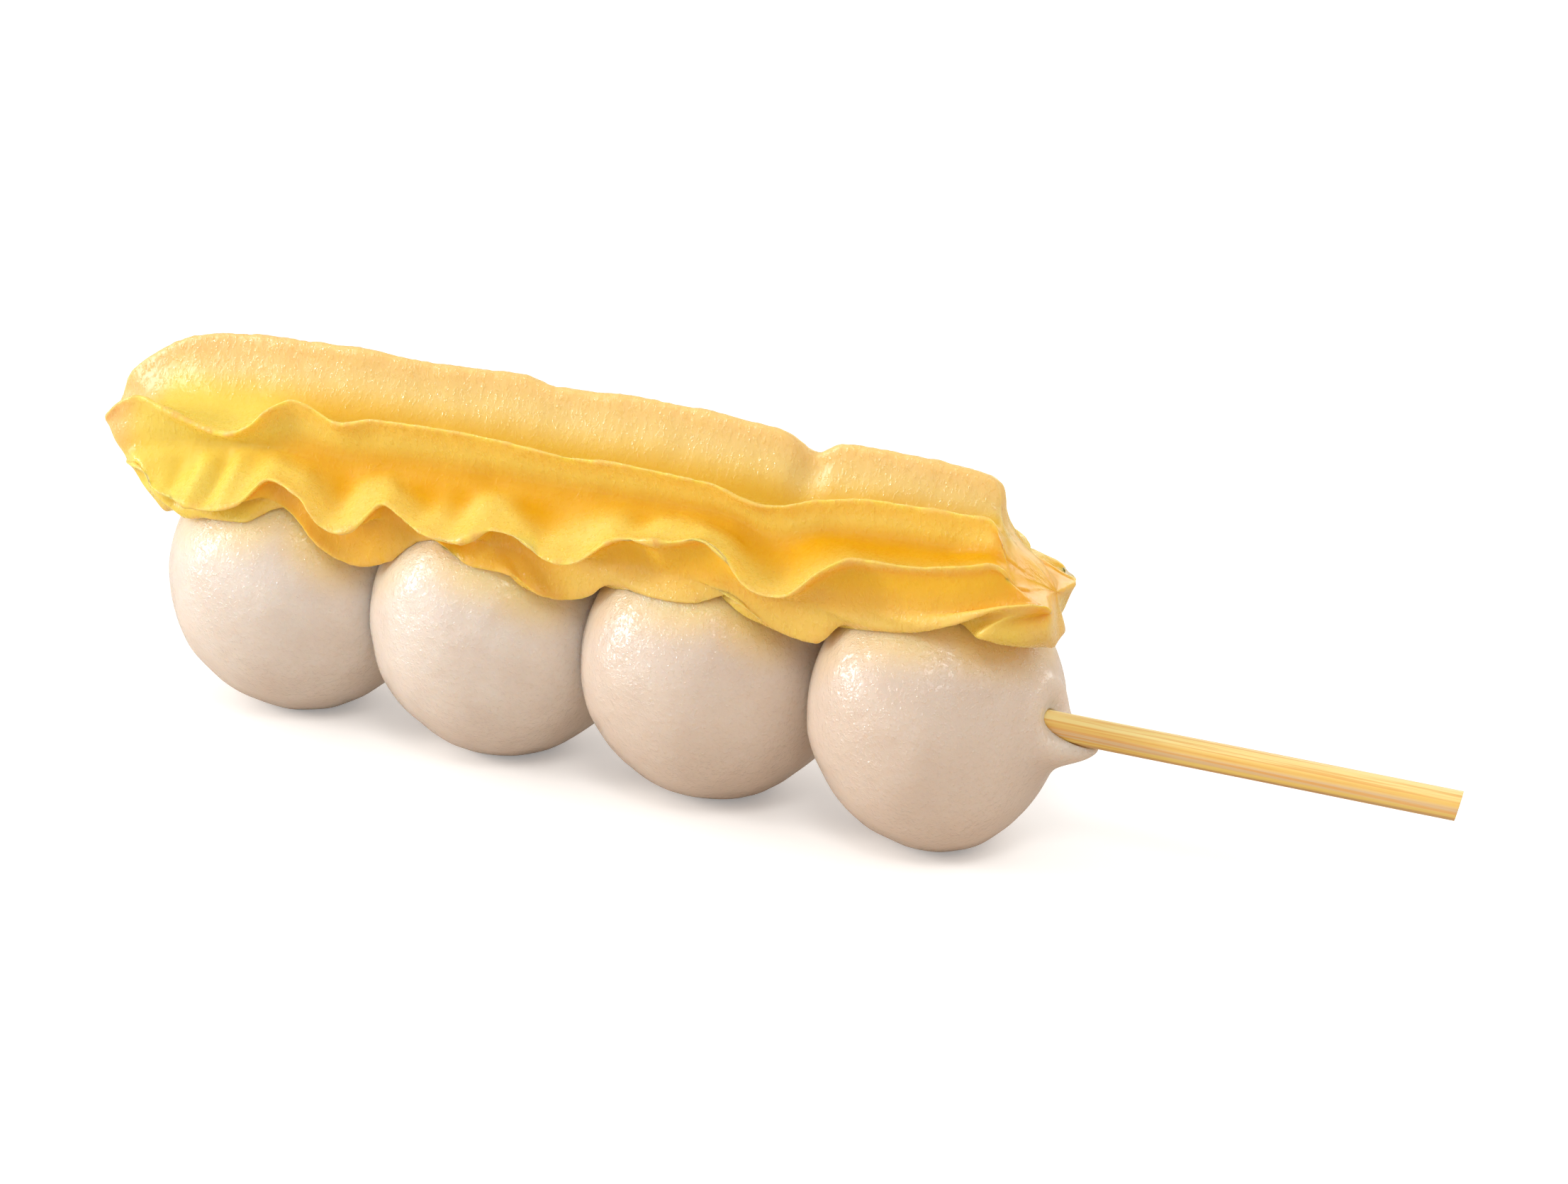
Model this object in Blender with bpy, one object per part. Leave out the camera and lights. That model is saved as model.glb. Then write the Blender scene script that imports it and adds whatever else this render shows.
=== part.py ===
"""Dango skewer: four balls of rice dough on a bamboo stick, under one piped strip of sweet paste.

+X runs along the stick to its handle end, +Y to the back, +Z up. The origin is on the table, under the
middle of the whole length. The sizes below are in millimetres, measured from the row's own centre: the
point on the axis of the four balls, half-way along the row. Each shape is a loft: rings of points joined
one to the next. Where pieces touch, they keep a narrow gap.
"""
import math

import bmesh
import bpy
from mathutils import Vector

MM = 0.001
GAP = 0.3

# The row: how high its axis is above the table, and where its centre is along the whole length.
AXIS_HEIGHT = 14.0
ROW_X = -15.5

# The balls, from the point of the stick to its handle end. Each is two half ellipsoids, joined at x. A
# lump is (x from the ball's middle, degrees from the top towards the front, height, spread).
BALLS = [
    {"x": -39.4, "radius": 14.8, "left": 14.9, "right": 14.4,
     "lumps": [(-6, 60, 0.4, 6), (5, 110, -0.3, 7), (2, -80, 0.2, 8)]},
    {"x": -13.8, "radius": 14.9, "left": 14.8, "right": 14.3,
     "lumps": [(-4, 48, 0.5, 4), (6, 80, -0.3, 6), (-3, -100, 0.2, 8)]},
    {"x": 11.7, "radius": 14.6, "left": 14.4, "right": 14.2,
     "lumps": [(-6, 50, 0.4, 4), (6, 48, 0.4, 4), (0, -70, -0.3, 7)]},
    {"x": 37.6, "radius": 14.4, "left": 13.3, "right": 12.8,
     "lumps": [(-6, 50, 0.4, 4), (-3, 95, -0.4, 5), (4, -90, 0.4, 7), (10, 140, 1.9, 7)]},
]
BALL_SIDES = 24
BALL_RINGS = 13
# How far round the row's two outer ends are left open by the rings of the first and last ball, in radians.
OPEN_START = 0.25
OPEN_END = 0.42

# The stick: a round rod that rises a little towards its handle end, pointed inside the first ball.
STICK_RADIUS = 1.5
STICK_TIP_X = -53.0
STICK_END_X = 94.8
STICK_POINT_LENGTH = 9.0
STICK_POINT_RADIUS = 0.5
STICK_RISE = 0.0116
STICK_MIDDLE_Z = 0.1
STICK_SIDES = 16
# The handle end is cut askew: its plane runs this far along x for each step up, and for each step back.
STICK_CUT_UP = 0.26
STICK_CUT_BACK = -0.29

# The collar of dough that the stick drags out of the last ball, as rings of (radius, x on its short side,
# x on its long side). The short side is at this many degrees from the top towards the front.
COLLAR_SHORT_SIDE = 2
COLLAR = [(4.9, 49.9, 50.6), (4.1, 50.1, 51.9), (3.5, 50.2, 53.4), (2.9, 50.2, 54.7), (2.1, 50.0, 55.6)]

# The paste strip. Its fins start and end at different places along x. A fin's tip is a smooth curve
# through rows of (x, y, z), one for each rise, dip or bend of its edge. Its start and end, where it has
# them, are the few points by which that edge comes out of the strip's core and turns back into it.
FINS = {
    "skirt": {"edge": 0.55, "end": [(53.2, -7.4, 17.2), (53.0, -6.2, 16.4), (52.2, -5.2, 15.6)], "tip": [
        (-52.4, -9.2, 7.9), (-50.4, -9.9, 9.2), (-47.7, -11.6, 8.9), (-45.1, -12.0, 9.7),
        (-41.4, -12.3, 9.9), (-39.1, -12.1, 10.2), (-37.9, -11.2, 11.2), (-35.5, -10.2, 12.2),
        (-33.9, -10.7, 11.5),
        (-31.1, -11.7, 9.2), (-26.3, -11.1, 7.2), (-22.5, -10.7, 8.4), (-19.1, -10.2, 11.3),
        (-17.3, -10.2, 11.8), (-14.0, -11.4, 11.0), (-11.4, -12.0, 10.4), (-6.9, -11.8, 10.3),
        (-3.6, -11.6, 8.4), (-1.5, -10.6, 8.0), (1.5, -10.2, 8.8), (4.1, -10.2, 11.0), (9.8, -11.2, 10.8),
        (14.5, -11.0, 11.0), (18.5, -9.3, 12.4), (20.7, -10.0, 11.1), (23.9, -9.7, 9.2),
        (28.5, -9.8, 8.9), (31.0, -9.2, 11.6), (35.0, -9.9, 11.8), (39.0, -9.8, 12.4),
        (42.0, -10.3, 13.4), (46.3, -10.0, 15.5), (49.3, -9.5, 17.1), (52.7, -8.4, 17.7)]},
    "ruffle": {"edge": 0.5, "end": [(48.4, -8.2, 19.8), (48.9, -7.2, 18.4), (49.0, -6.2, 17.2)], "tip": [
        (-57.3, -8.3, 12.4), (-54.7, -9.3, 12.6), (-51.2, -11.4, 11.4), (-47.3, -12.8, 11.2),
        (-43.3, -13.5, 11.1), (-39.3, -12.9, 12.2), (-37.0, -10.8, 14.9), (-32.4, -11.8, 14.0),
        (-29.3, -12.8, 11.8), (-27.2, -13.0, 11.3), (-24.8, -12.8, 12.1), (-22.6, -10.8, 14.9),
        (-20.8, -11.2, 14.3), (-16.6, -12.4, 13.0), (-14.0, -12.7, 12.8), (-11.7, -12.6, 13.1),
        (-8.7, -11.4, 14.6), (-6.6, -11.8, 14.6), (-1.8, -12.8, 13.2), (0.4, -13.0, 13.0),
        (2.4, -12.8, 13.6), (5.5, -11.6, 16.0), (13.0, -11.2, 17.1), (15.4, -11.2, 17.8),
        (18.7, -12.0, 16.9), (22.4, -13.0, 14.5), (24.5, -13.2, 14.2), (26.6, -13.2, 14.5),
        (30.1, -12.0, 17.5), (32.8, -10.5, 18.7), (38.3, -10.0, 18.8), (44.7, -9.5, 19.8),
        (47.4, -8.9, 20.4)]},
    "ridge": {"edge": 0.5, "end": [(46.1, -4.7, 22.6), (46.7, -4.5, 21.0), (47.0, -4.3, 19.4)], "tip": [
        (-60.8, -7.0, 16.0), (-58.5, -7.0, 18.3), (-55.6, -7.0, 19.6), (-52.2, -7.5, 18.9),
        (-44.5, -8.0, 17.6), (-41.1, -8.0, 19.0), (-39.0, -7.5, 21.0), (-35.9, -7.0, 22.5),
        (-33.6, -7.0, 22.0), (-30.3, -7.2, 20.9), (-25.9, -7.0, 22.0), (-13.3, -7.0, 22.5),
        (-2.3, -7.0, 22.1), (4.2, -7.0, 22.5), (14.8, -7.0, 22.3), (17.8, -6.8, 21.3), (20.5, -6.5, 20.8),
        (22.8, -6.2, 21.1), (26.2, -5.8, 22.2), (33.5, -5.2, 23.2), (45.3, -4.8, 23.4)]},
    "crest": {"edge": 0.8, "start": [(-62.6, 1.3, 13.6), (-63.8, 1.4, 14.0)],
              "end": [(44.0, 1.0, 23.7), (44.0, 1.0, 22.0), (44.3, 1.0, 21.0)], "tip": [
        (-64.3, 1.5, 14.9), (-63.5, 1.2, 16.8), (-61.1, 1.0, 20.0), (-58.9, 1.0, 21.6),
        (-54.0, 1.0, 24.2), (-49.3, 1.2, 25.3), (-40.0, 0.8, 26.1), (-31.5, 0.6, 26.6),
        (-22.7, 1.0, 26.3), (-12.2, 1.4, 26.7), (-8.7, 1.4, 26.1), (4.9, 1.0, 26.9), (18.3, 0.6, 26.5),
        (20.0, 0.6, 26.0), (22.4, 1.4, 24.2), (25.2, 1.2, 25.9), (31.4, 1.0, 26.2), (42.6, 1.0, 25.6),
        (43.7, 1.0, 24.9)]},
    "back_ridge": {"edge": 0.6, "end": [(44.6, 5.6, 17.0), (45.2, 5.0, 16.4)], "tip": [
        (-61.8, 7.0, 15.6), (-58.0, 8.2, 18.0), (-50.0, 8.6, 20.2), (-43.0, 7.8, 19.2),
        (-35.0, 8.4, 21.0), (-24.0, 7.6, 20.4), (-12.0, 8.4, 21.2), (2.0, 8.0, 20.6), (12.0, 7.4, 21.2),
        (23.0, 8.2, 19.8), (33.0, 7.2, 20.8), (40.0, 6.8, 19.0), (43.8, 6.2, 17.4)]},
    "back_ruffle": {"edge": 0.55, "end": [(49.8, 6.1, 13.9)], "tip": [
        (-59.0, 9.2, 12.0), (-54.0, 11.4, 14.0), (-50.0, 13.0, 12.2), (-45.5, 12.0, 15.2),
        (-40.0, 13.2, 12.6), (-34.5, 12.4, 15.4), (-28.0, 13.2, 11.8), (-22.0, 12.0, 14.8),
        (-15.0, 13.3, 13.0), (-9.0, 12.4, 15.6), (-1.0, 13.2, 11.9), (6.0, 12.0, 15.0),
        (12.5, 13.2, 13.2), (18.0, 12.4, 15.4), (25.0, 13.0, 12.0), (32.0, 11.8, 14.8),
        (38.0, 12.4, 12.6), (43.0, 9.6, 14.8), (49.3, 6.8, 14.2)]},
    "back_skirt": {"edge": 0.6, "end": [(48.5, 5.8, 10.9)], "tip": [
        (-56.0, 9.4, 9.0), (-50.0, 11.4, 9.2), (-40.0, 12.4, 9.8), (-33.0, 12.0, 10.2),
        (-26.5, 11.2, 7.2), (-20.0, 11.0, 10.2), (-13.0, 12.4, 9.6), (-7.0, 11.6, 10.4),
        (-1.0, 10.8, 7.6), (6.0, 11.2, 10.4), (13.0, 12.0, 9.6), (19.0, 11.2, 10.2), (25.5, 10.2, 8.0),
        (32.0, 11.2, 10.2), (39.0, 11.6, 9.6), (44.0, 9.6, 9.8), (47.6, 7.2, 10.4)]},
}

# The bottom of each valley between two fins, in the same order and the same form.
VALLEYS = {
    "skirt_ruffle": [
        (-55.2, -8.8, 10.3), (-50.0, -11.0, 9.9), (-44.0, -10.8, 11.1), (-36.0, -9.6, 12.5),
        (0.0, -9.1, 12.7), (22.0, -9.1, 12.5), (34.0, -9.1, 13.0), (44.0, -8.6, 14.2), (50.6, -6.8, 15.4)],
    "ruffle_ridge": [
        (-59.3, -7.7, 14.2), (-56.0, -8.0, 13.8), (-50.0, -6.6, 14.6), (-42.0, -5.6, 16.0),
        (-30.0, -5.5, 16.2), (-20.0, -5.5, 17.2), (-8.0, -5.5, 17.7), (15.6, -5.5, 18.4),
        (21.0, -5.8, 16.6), (27.0, -5.3, 18.3), (44.0, -4.6, 18.8), (47.6, -4.5, 18.4)],
    "ridge_crest": [
        (-62.6, -2.6, 16.2), (-56.0, -3.0, 17.2), (-45.0, -2.8, 17.6), (-36.0, -2.6, 19.2),
        (15.0, -2.4, 19.6), (22.0, -2.2, 18.8), (30.0, -2.0, 20.0), (44.0, -2.0, 20.2), (46.4, -2.0, 19.2)],
    "crest_back": [
        (-62.8, 3.6, 15.6), (-50.0, 3.6, 18.0), (-36.0, 3.4, 19.0), (44.0, 3.3, 19.0), (46.4, 3.4, 18.0)],
    "back_ridge_ruffle": [
        (-60.4, 7.0, 13.4), (-50.0, 6.8, 15.4), (-30.0, 6.0, 16.8), (44.0, 5.8, 16.6), (47.6, 5.0, 15.2)],
    "back_ruffle_skirt": [
        (-57.6, 8.8, 10.8), (-48.0, 8.9, 12.6), (-30.0, 8.2, 14.0), (42.0, 7.9, 14.0), (50.0, 5.8, 12.4)],
}

# The last petal, under the skirt at the handle end, and the fold above it. Before it starts, the strip's
# lower front corner just follows the balls.
PETAL = [(43.0, -9.6, 12.0), (46.9, -9.6, 12.1), (48.4, -9.2, 11.7), (50.4, -8.7, 11.7), (52.9, -6.4, 12.8)]
PETAL_FOLD = [(43.0, -9.4, 12.6), (47.0, -8.6, 13.8), (50.0, -7.2, 14.8), (52.0, -5.6, 15.2)]
PETAL_BLEND = (42.0, 46.5)

# Where the strip bridges two balls, its underside stays this far from the axis. Past the outer balls it
# comes down to the second distance. The underside starts and ends at these x, at the front and the back.
BRIDGE_RADIUS = 11.6
END_RADIUS = 10.0
UNDER_POINTS = 7
UNDER_START_X = (-52.6, -55.2)
UNDER_END_X = (51.6, 50.0)

# The strip's outline is taken at this many stations. A fin's turns at its start and end take this share
# of the strip each. Between its root and its edge, a fin's sides are this hollow.
STATIONS = 68
TURN_SHARE = 0.05
HOLLOW = 0.3
SIDE_SHARE = 0.8
# Each of the strip's two lower corners is this many degrees nearer to the top than the skirt over it.
CORNER_INSET = 4.0
PLAIN_FOLD_SHARE = 0.4
LEFT_CAP = (-60.6, 0.5, 13.0)
RIGHT_CAP = (49.2, 0.4, 15.0)
# The handle end is closed by a dome: rings at these shares of the way to its point, bulging this far.
DOME_SHARES = (0.3, 0.65)
DOME_BULGE = 1.0

COLOURS = {
    "mochi": (0.78, 0.68, 0.58),
    "paste": (0.87, 0.52, 0.13),
    "bamboo": (0.80, 0.58, 0.26),
}


def along(rows, x):
    """The point at x on a curve through rows of (x, y, z), level at rises and dips, held past its ends."""
    if x <= rows[0][0]:
        return rows[0][1:]
    if x >= rows[-1][0]:
        return rows[-1][1:]
    k = max(n for n, row in enumerate(rows) if row[0] <= x)
    span = rows[k + 1][0] - rows[k][0]
    t = (x - rows[k][0]) / span

    def rate(n, column):
        n = min(max(n, 0), len(rows) - 2)
        return (rows[n + 1][column] - rows[n][column]) / (rows[n + 1][0] - rows[n][0])

    def slope(n, column):
        before, after = rate(n - 1, column), rate(n, column)
        return 2 * before * after / (before + after) if before * after > 0 else 0.0

    return tuple(
        rows[k][c] * (2 * t**3 - 3 * t**2 + 1) + rows[k + 1][c] * (3 * t**2 - 2 * t**3)
        + span * (slope(k, c) * (t**3 - 2 * t**2 + t) + slope(k + 1, c) * (t**3 - t**2))
        for c in (1, 2)
    )


def eased(low, high, value):
    """0 below low, 1 above high, and a smooth step between."""
    t = min(1.0, max(0.0, (value - low) / (high - low)))
    return t * t * (3 - 2 * t)


def stick_z(x):
    """Height of the stick's centre line over the row's axis."""
    return STICK_MIDDLE_Z + STICK_RISE * x


def contact_x(index):
    """Where ball index and the next one press against each other."""
    here, after = BALLS[index], BALLS[index + 1]
    share = here["right"] / (here["right"] + after["left"])
    return here["x"] + (after["x"] - here["x"]) * share


def ball_radius(ball, x, angle):
    """Distance from the row's axis to a ball's skin, at x and at an angle from the top to the front."""
    dx = x - ball["x"]
    length = ball["left"] if dx < 0 else ball["right"]
    if abs(dx) >= length:
        return 0.0
    smooth = ball["radius"] * math.sqrt(1 - (dx / length) ** 2)
    lumps = 0.0
    for lump_dx, degrees, height, spread in ball["lumps"]:
        around = math.remainder(angle - math.radians(degrees), math.tau) * smooth
        lumps += height * math.exp(-(((dx - lump_dx) ** 2 + around**2) / spread**2))
    return smooth + lumps * smooth / ball["radius"]


def clear_radius(x, angle):
    """The nearest that the paste comes to the row's axis, over the balls, the gaps and the two ends."""
    skin = max(ball_radius(ball, x, angle) for ball in BALLS)
    end = max(eased(-44.0, -54.0, x), eased(44.0, 52.0, x))
    bridge = BRIDGE_RADIUS + (END_RADIUS - BRIDGE_RADIUS) * end
    return max(skin, bridge) + GAP + 0.05


def polar(x, degrees, radius):
    """A point at a distance from the row's axis, at an angle from the top towards the front."""
    angle = math.radians(degrees)
    return (x, -radius * math.sin(angle), radius * math.cos(angle))


def lifted(point):
    """The same point, moved straight out from the axis where it would be in a ball."""
    x, y, z = point
    distance = math.hypot(y, z)
    least = clear_radius(x, math.atan2(-y, z))
    if distance >= least:
        return point
    return (x, y * least / distance, z * least / distance)


def mixed(a, b, share):
    return tuple(p + (q - p) * share for p, q in zip(a, b))


def make_object(name, material_name, points, faces, parent):
    """A smooth-shaded mesh object from points in millimetres, with creases where it turns sharply."""
    mesh = bpy.data.meshes.new(name)
    mesh.from_pydata([Vector(p) * MM for p in points], [], faces)
    body = bmesh.new()
    body.from_mesh(mesh)
    bmesh.ops.recalc_face_normals(body, faces=body.faces)
    body.to_mesh(mesh)
    body.free()
    mesh.shade_smooth()
    mesh.set_sharp_from_angle(angle=math.radians(60))
    obj = bpy.data.objects.new(name, mesh)
    obj.parent = parent
    bpy.context.collection.objects.link(obj)
    material = bpy.data.materials.get(material_name) or make_material(material_name)
    mesh.materials.append(material)
    return obj


def make_material(name):
    material = bpy.data.materials.new(name)
    material.use_nodes = True
    shader = material.node_tree.nodes["Principled BSDF"]
    shader.inputs["Base Color"].default_value = (*COLOURS[name], 1.0)
    shader.inputs["Roughness"].default_value = 0.6 if name == "bamboo" else 0.35
    shader.inputs["Metallic"].default_value = 0.0
    return material


def loft(rings, start=None, end=None, endless=False):
    """Points and faces of rings joined in turn, closed by a point at each end or, if endless, on itself."""
    sides = len(rings[0])
    points = [p for ring in rings for p in ring]
    pairs = [(k, k + 1) for k in range(len(rings) - 1)]
    if endless:
        pairs.append((len(rings) - 1, 0))
    faces = []
    for a, b in pairs:
        for j in range(sides):
            after = (j + 1) % sides
            faces.append((a * sides + j, a * sides + after, b * sides + after, b * sides + j))
    for cap, ring in ((start, 0), (end, len(rings) - 1)):
        if cap is None:
            continue
        points.append(cap)
        tip = len(points) - 1
        faces += [(ring * sides + j, ring * sides + (j + 1) % sides, tip) for j in range(sides)]
    return points, faces


def circle(x, radius, centre_z, sides):
    turns = [math.tau * j / sides for j in range(sides)]
    return [(x, -radius * math.sin(a), centre_z + radius * math.cos(a)) for a in turns]


def make_ball(index, parent):
    """A ball, pressed flat against its neighbours and the table, with a bore for the stick."""
    ball = BALLS[index]
    first, last = index == 0, index == len(BALLS) - 1
    left = BALLS[0]["x"] - ball["left"] if first else contact_x(index - 1) + GAP / 2
    right = ball["x"] + ball["right"] if last else contact_x(index) - GAP / 2
    start_turn = OPEN_START if first else math.acos((ball["x"] - left) / ball["left"])
    end_turn = math.pi - (OPEN_END if last else math.acos((right - ball["x"]) / ball["right"]))
    angles = [math.tau * j / BALL_SIDES for j in range(BALL_SIDES)]

    rings = []
    for k in range(BALL_RINGS):
        turn = start_turn + (end_turn - start_turn) * k / (BALL_RINGS - 1)
        length = ball["left"] if turn < math.pi / 2 else ball["right"]
        x = ball["x"] - length * math.cos(turn)
        ring = []
        for angle in angles:
            _, y, z = polar(x, math.degrees(angle), ball_radius(ball, x, angle))
            ring.append((x, y, max(z, -AXIS_HEIGHT)))
        rings.append(ring)
    if last:
        rings += [collar_ring(*row, angles) for row in COLLAR]

    bore = STICK_RADIUS + GAP
    mouth = [(x, 0, stick_z(x)) for x, _, _ in rings[-1]]
    rings.append([(m[0], -bore * math.sin(a), m[2] + bore * math.cos(a)) for m, a in zip(mouth, angles)])
    if first:
        depth_x = STICK_TIP_X - GAP
        shoulder_x = STICK_TIP_X + STICK_POINT_LENGTH
        rings.append(circle(shoulder_x, bore, stick_z(shoulder_x), BALL_SIDES))
        rings.append(circle(depth_x, STICK_POINT_RADIUS + GAP, stick_z(depth_x), BALL_SIDES))
        points, faces = loft(rings, start=(left, 0, 0), end=(depth_x, 0, stick_z(depth_x)))
    else:
        rings.append(circle(left, bore, stick_z(left), BALL_SIDES))
        points, faces = loft(rings, endless=True)
    return make_object(f"ball_{index + 1}", "mochi", points, faces, parent)


def collar_ring(radius, front_x, low_x, angles):
    """A ring of the collar: short at the front of its top, and drawn out along the stick below."""
    ring = []
    for angle in angles:
        low = ((1 - math.cos(angle - math.radians(COLLAR_SHORT_SIDE))) / 2) ** 2
        x = front_x + (low_x - front_x) * low
        _, y, z = polar(x, math.degrees(angle), radius)
        ring.append((x, y, z + stick_z(x)))
    return ring


def make_stick(parent):
    """The bamboo rod, with its point inside the first ball and its handle end cut a little askew."""
    shoulder_x = STICK_TIP_X + STICK_POINT_LENGTH
    rings = [
        circle(STICK_TIP_X, STICK_POINT_RADIUS, stick_z(STICK_TIP_X), STICK_SIDES),
        circle(shoulder_x, STICK_RADIUS, stick_z(shoulder_x), STICK_SIDES),
        circle(STICK_END_X, STICK_RADIUS, stick_z(STICK_END_X), STICK_SIDES),
    ]
    end = (STICK_END_X, 0, stick_z(STICK_END_X))
    rings[-1] = [(x + STICK_CUT_UP * (z - end[2]) + STICK_CUT_BACK * y, y, z) for x, y, z in rings[-1]]
    start = (STICK_TIP_X, 0, stick_z(STICK_TIP_X))
    points, faces = loft(rings, start=start, end=end)
    return make_object("skewer", "bamboo", points, faces, parent)


def place(rows, u):
    """The point at share u of a curve's own length along x."""
    x = rows[0][0] + (rows[-1][0] - rows[0][0]) * u
    return (x, *along(rows, x))


def walked(points, share):
    """The point at a share of the steps from the first of a few points to the last."""
    step = min(share, 0.9999) * (len(points) - 1)
    k = int(step)
    return mixed(points[k], points[k + 1], step - k)


def fin_tip(fin, u):
    """A fin's tip at share u of the strip, with its turns out of the core and back into it."""
    rows = fin["tip"]
    start = [*fin.get("start", []), rows[0]]
    end = [rows[-1], *fin.get("end", [])]
    low = TURN_SHARE if len(start) > 1 else 0.0
    high = 1.0 - (TURN_SHARE if len(end) > 1 else 0.0)
    if u < low:
        return walked(start, u / low)
    if u > high:
        return walked(end, (u - high) / (1.0 - high))
    return place(rows, (u - low) / (high - low))


def fin_points(before, tip, after, edge):
    """Four points round a fin, from the valley before it to the valley after: side, edge, edge, side.

    The sides are hollow, so that a fin is thick at its root and thin for most of its height. A short
    fin has a thinner edge.
    """
    root = mixed(before, after, 0.5)
    spine = Vector((0, tip[1] - root[1], tip[2] - root[2]))
    across = Vector((0, -spine.z, spine.y)).normalized() * min(edge, 0.4 * spine.length + 0.1)
    towards = Vector((0, after[1] - before[1], after[2] - before[2]))
    if across.dot(towards) < 0:
        across = -across
    edges = [tuple(Vector(tip) - across), tuple(Vector(tip) + across)]
    sides = []
    for valley, corner in ((before, edges[0]), (after, edges[1])):
        straight = mixed(valley, corner, 0.5)
        hollow = mixed(straight, mixed(root, tip, 0.5), HOLLOW)
        sides.append((mixed(valley, corner, SIDE_SHARE)[0], hollow[1], hollow[2]))
    return [sides[0], edges[0], edges[1], sides[1]]


def paste_ring(u):
    """The strip's star-shaped outline at share u of its length, round from the lower front corner."""
    fins = {name: fin_tip(fin, u) for name, fin in FINS.items()}
    valleys = {name: place(rows, u) for name, rows in VALLEYS.items()}
    skirt = fins["skirt"]
    corner_x = UNDER_START_X[0] + (UNDER_END_X[0] - UNDER_START_X[0]) * u
    back_x = UNDER_START_X[1] + (UNDER_END_X[1] - UNDER_START_X[1]) * u
    front_angle = math.degrees(math.atan2(-skirt[1], skirt[2])) - CORNER_INSET
    back = fins["back_skirt"]
    back_angle = math.degrees(math.atan2(-back[1], back[2])) + CORNER_INSET

    plain_corner = polar(corner_x, front_angle, clear_radius(corner_x, math.radians(front_angle)))
    plain_fold = mixed(plain_corner, skirt, PLAIN_FOLD_SHARE)
    petal = eased(*PETAL_BLEND, corner_x)
    along_petal = (corner_x - PETAL[0][0]) / (UNDER_END_X[0] - PETAL[0][0])
    corner = mixed(plain_corner, place(PETAL, max(0.0, along_petal)), petal)
    fold = mixed(plain_fold, place(PETAL_FOLD, max(0.0, along_petal)), petal)

    edge = FINS["skirt"]["edge"]
    outward = Vector((0, skirt[1], skirt[2])).normalized() * edge
    skirt_top = tuple(Vector(skirt) + outward)
    skirt_side = mixed(skirt_top, valleys["skirt_ruffle"], 0.5)
    ring = [corner, fold, tuple(Vector(skirt) - outward), skirt_top, skirt_side]
    names = ["ruffle", "ridge", "crest", "back_ridge", "back_ruffle"]
    bounds = list(valleys.values())
    for name, before, after in zip(names, bounds, bounds[1:]):
        ring.append(before)
        ring += fin_points(before, fins[name], after, FINS[name]["edge"])
    outward = Vector((0, back[1], back[2])).normalized() * FINS["back_skirt"]["edge"]
    ring += [bounds[-1], mixed(bounds[-1], back, 0.5)]
    ring += [tuple(Vector(back) + outward), tuple(Vector(back) - outward)]
    for k in range(UNDER_POINTS):
        share = (k + 0.5) / UNDER_POINTS
        x = back_x + (corner_x - back_x) * share
        degrees = back_angle + (front_angle - back_angle) * share
        ring.append(polar(x, degrees, clear_radius(x, math.radians(degrees))))
    return [lifted(p) for p in ring]


def dome_ring(ring, share):
    """The strip's last outline, drawn in by this share of the way to the dome's point and evened out."""
    apart = [math.hypot(p[1] - RIGHT_CAP[1], p[2] - RIGHT_CAP[2]) for p in ring]
    mean = sum(apart) / len(apart)
    rounded = eased(0.0, 0.6, share)
    points = []
    for p, distance in zip(ring, apart):
        scale = (1 - share) * (1 + (mean / distance - 1) * rounded)
        x = RIGHT_CAP[0] + (p[0] - RIGHT_CAP[0]) * (1 - eased(0.0, 1.0, share))
        x += DOME_BULGE * math.sin(math.pi / 2 * share)
        y = RIGHT_CAP[1] + (p[1] - RIGHT_CAP[1]) * scale
        z = RIGHT_CAP[2] + (p[2] - RIGHT_CAP[2]) * scale
        points.append(lifted((x, y, z)))
    return points


def make_paste(parent):
    rings = [paste_ring(k / (STATIONS - 1)) for k in range(STATIONS)]
    rings += [dome_ring(rings[-1], share) for share in DOME_SHARES]
    point = (RIGHT_CAP[0] + DOME_BULGE, *RIGHT_CAP[1:])
    points, faces = loft(rings, start=LEFT_CAP, end=point)
    return make_object("paste_topping", "paste", points, faces, parent)


def main():
    for obj in list(bpy.data.objects):
        bpy.data.objects.remove(obj, do_unlink=True)
    row = bpy.data.objects.new("dango_row", None)
    row.location = Vector((ROW_X, 0, AXIS_HEIGHT)) * MM
    bpy.context.collection.objects.link(row)
    for index in range(len(BALLS)):
        make_ball(index, row)
    make_stick(row)
    make_paste(row)


main()
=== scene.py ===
import math

import bpy
import numpy as np
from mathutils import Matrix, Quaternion, Vector, kdtree, noise


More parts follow.
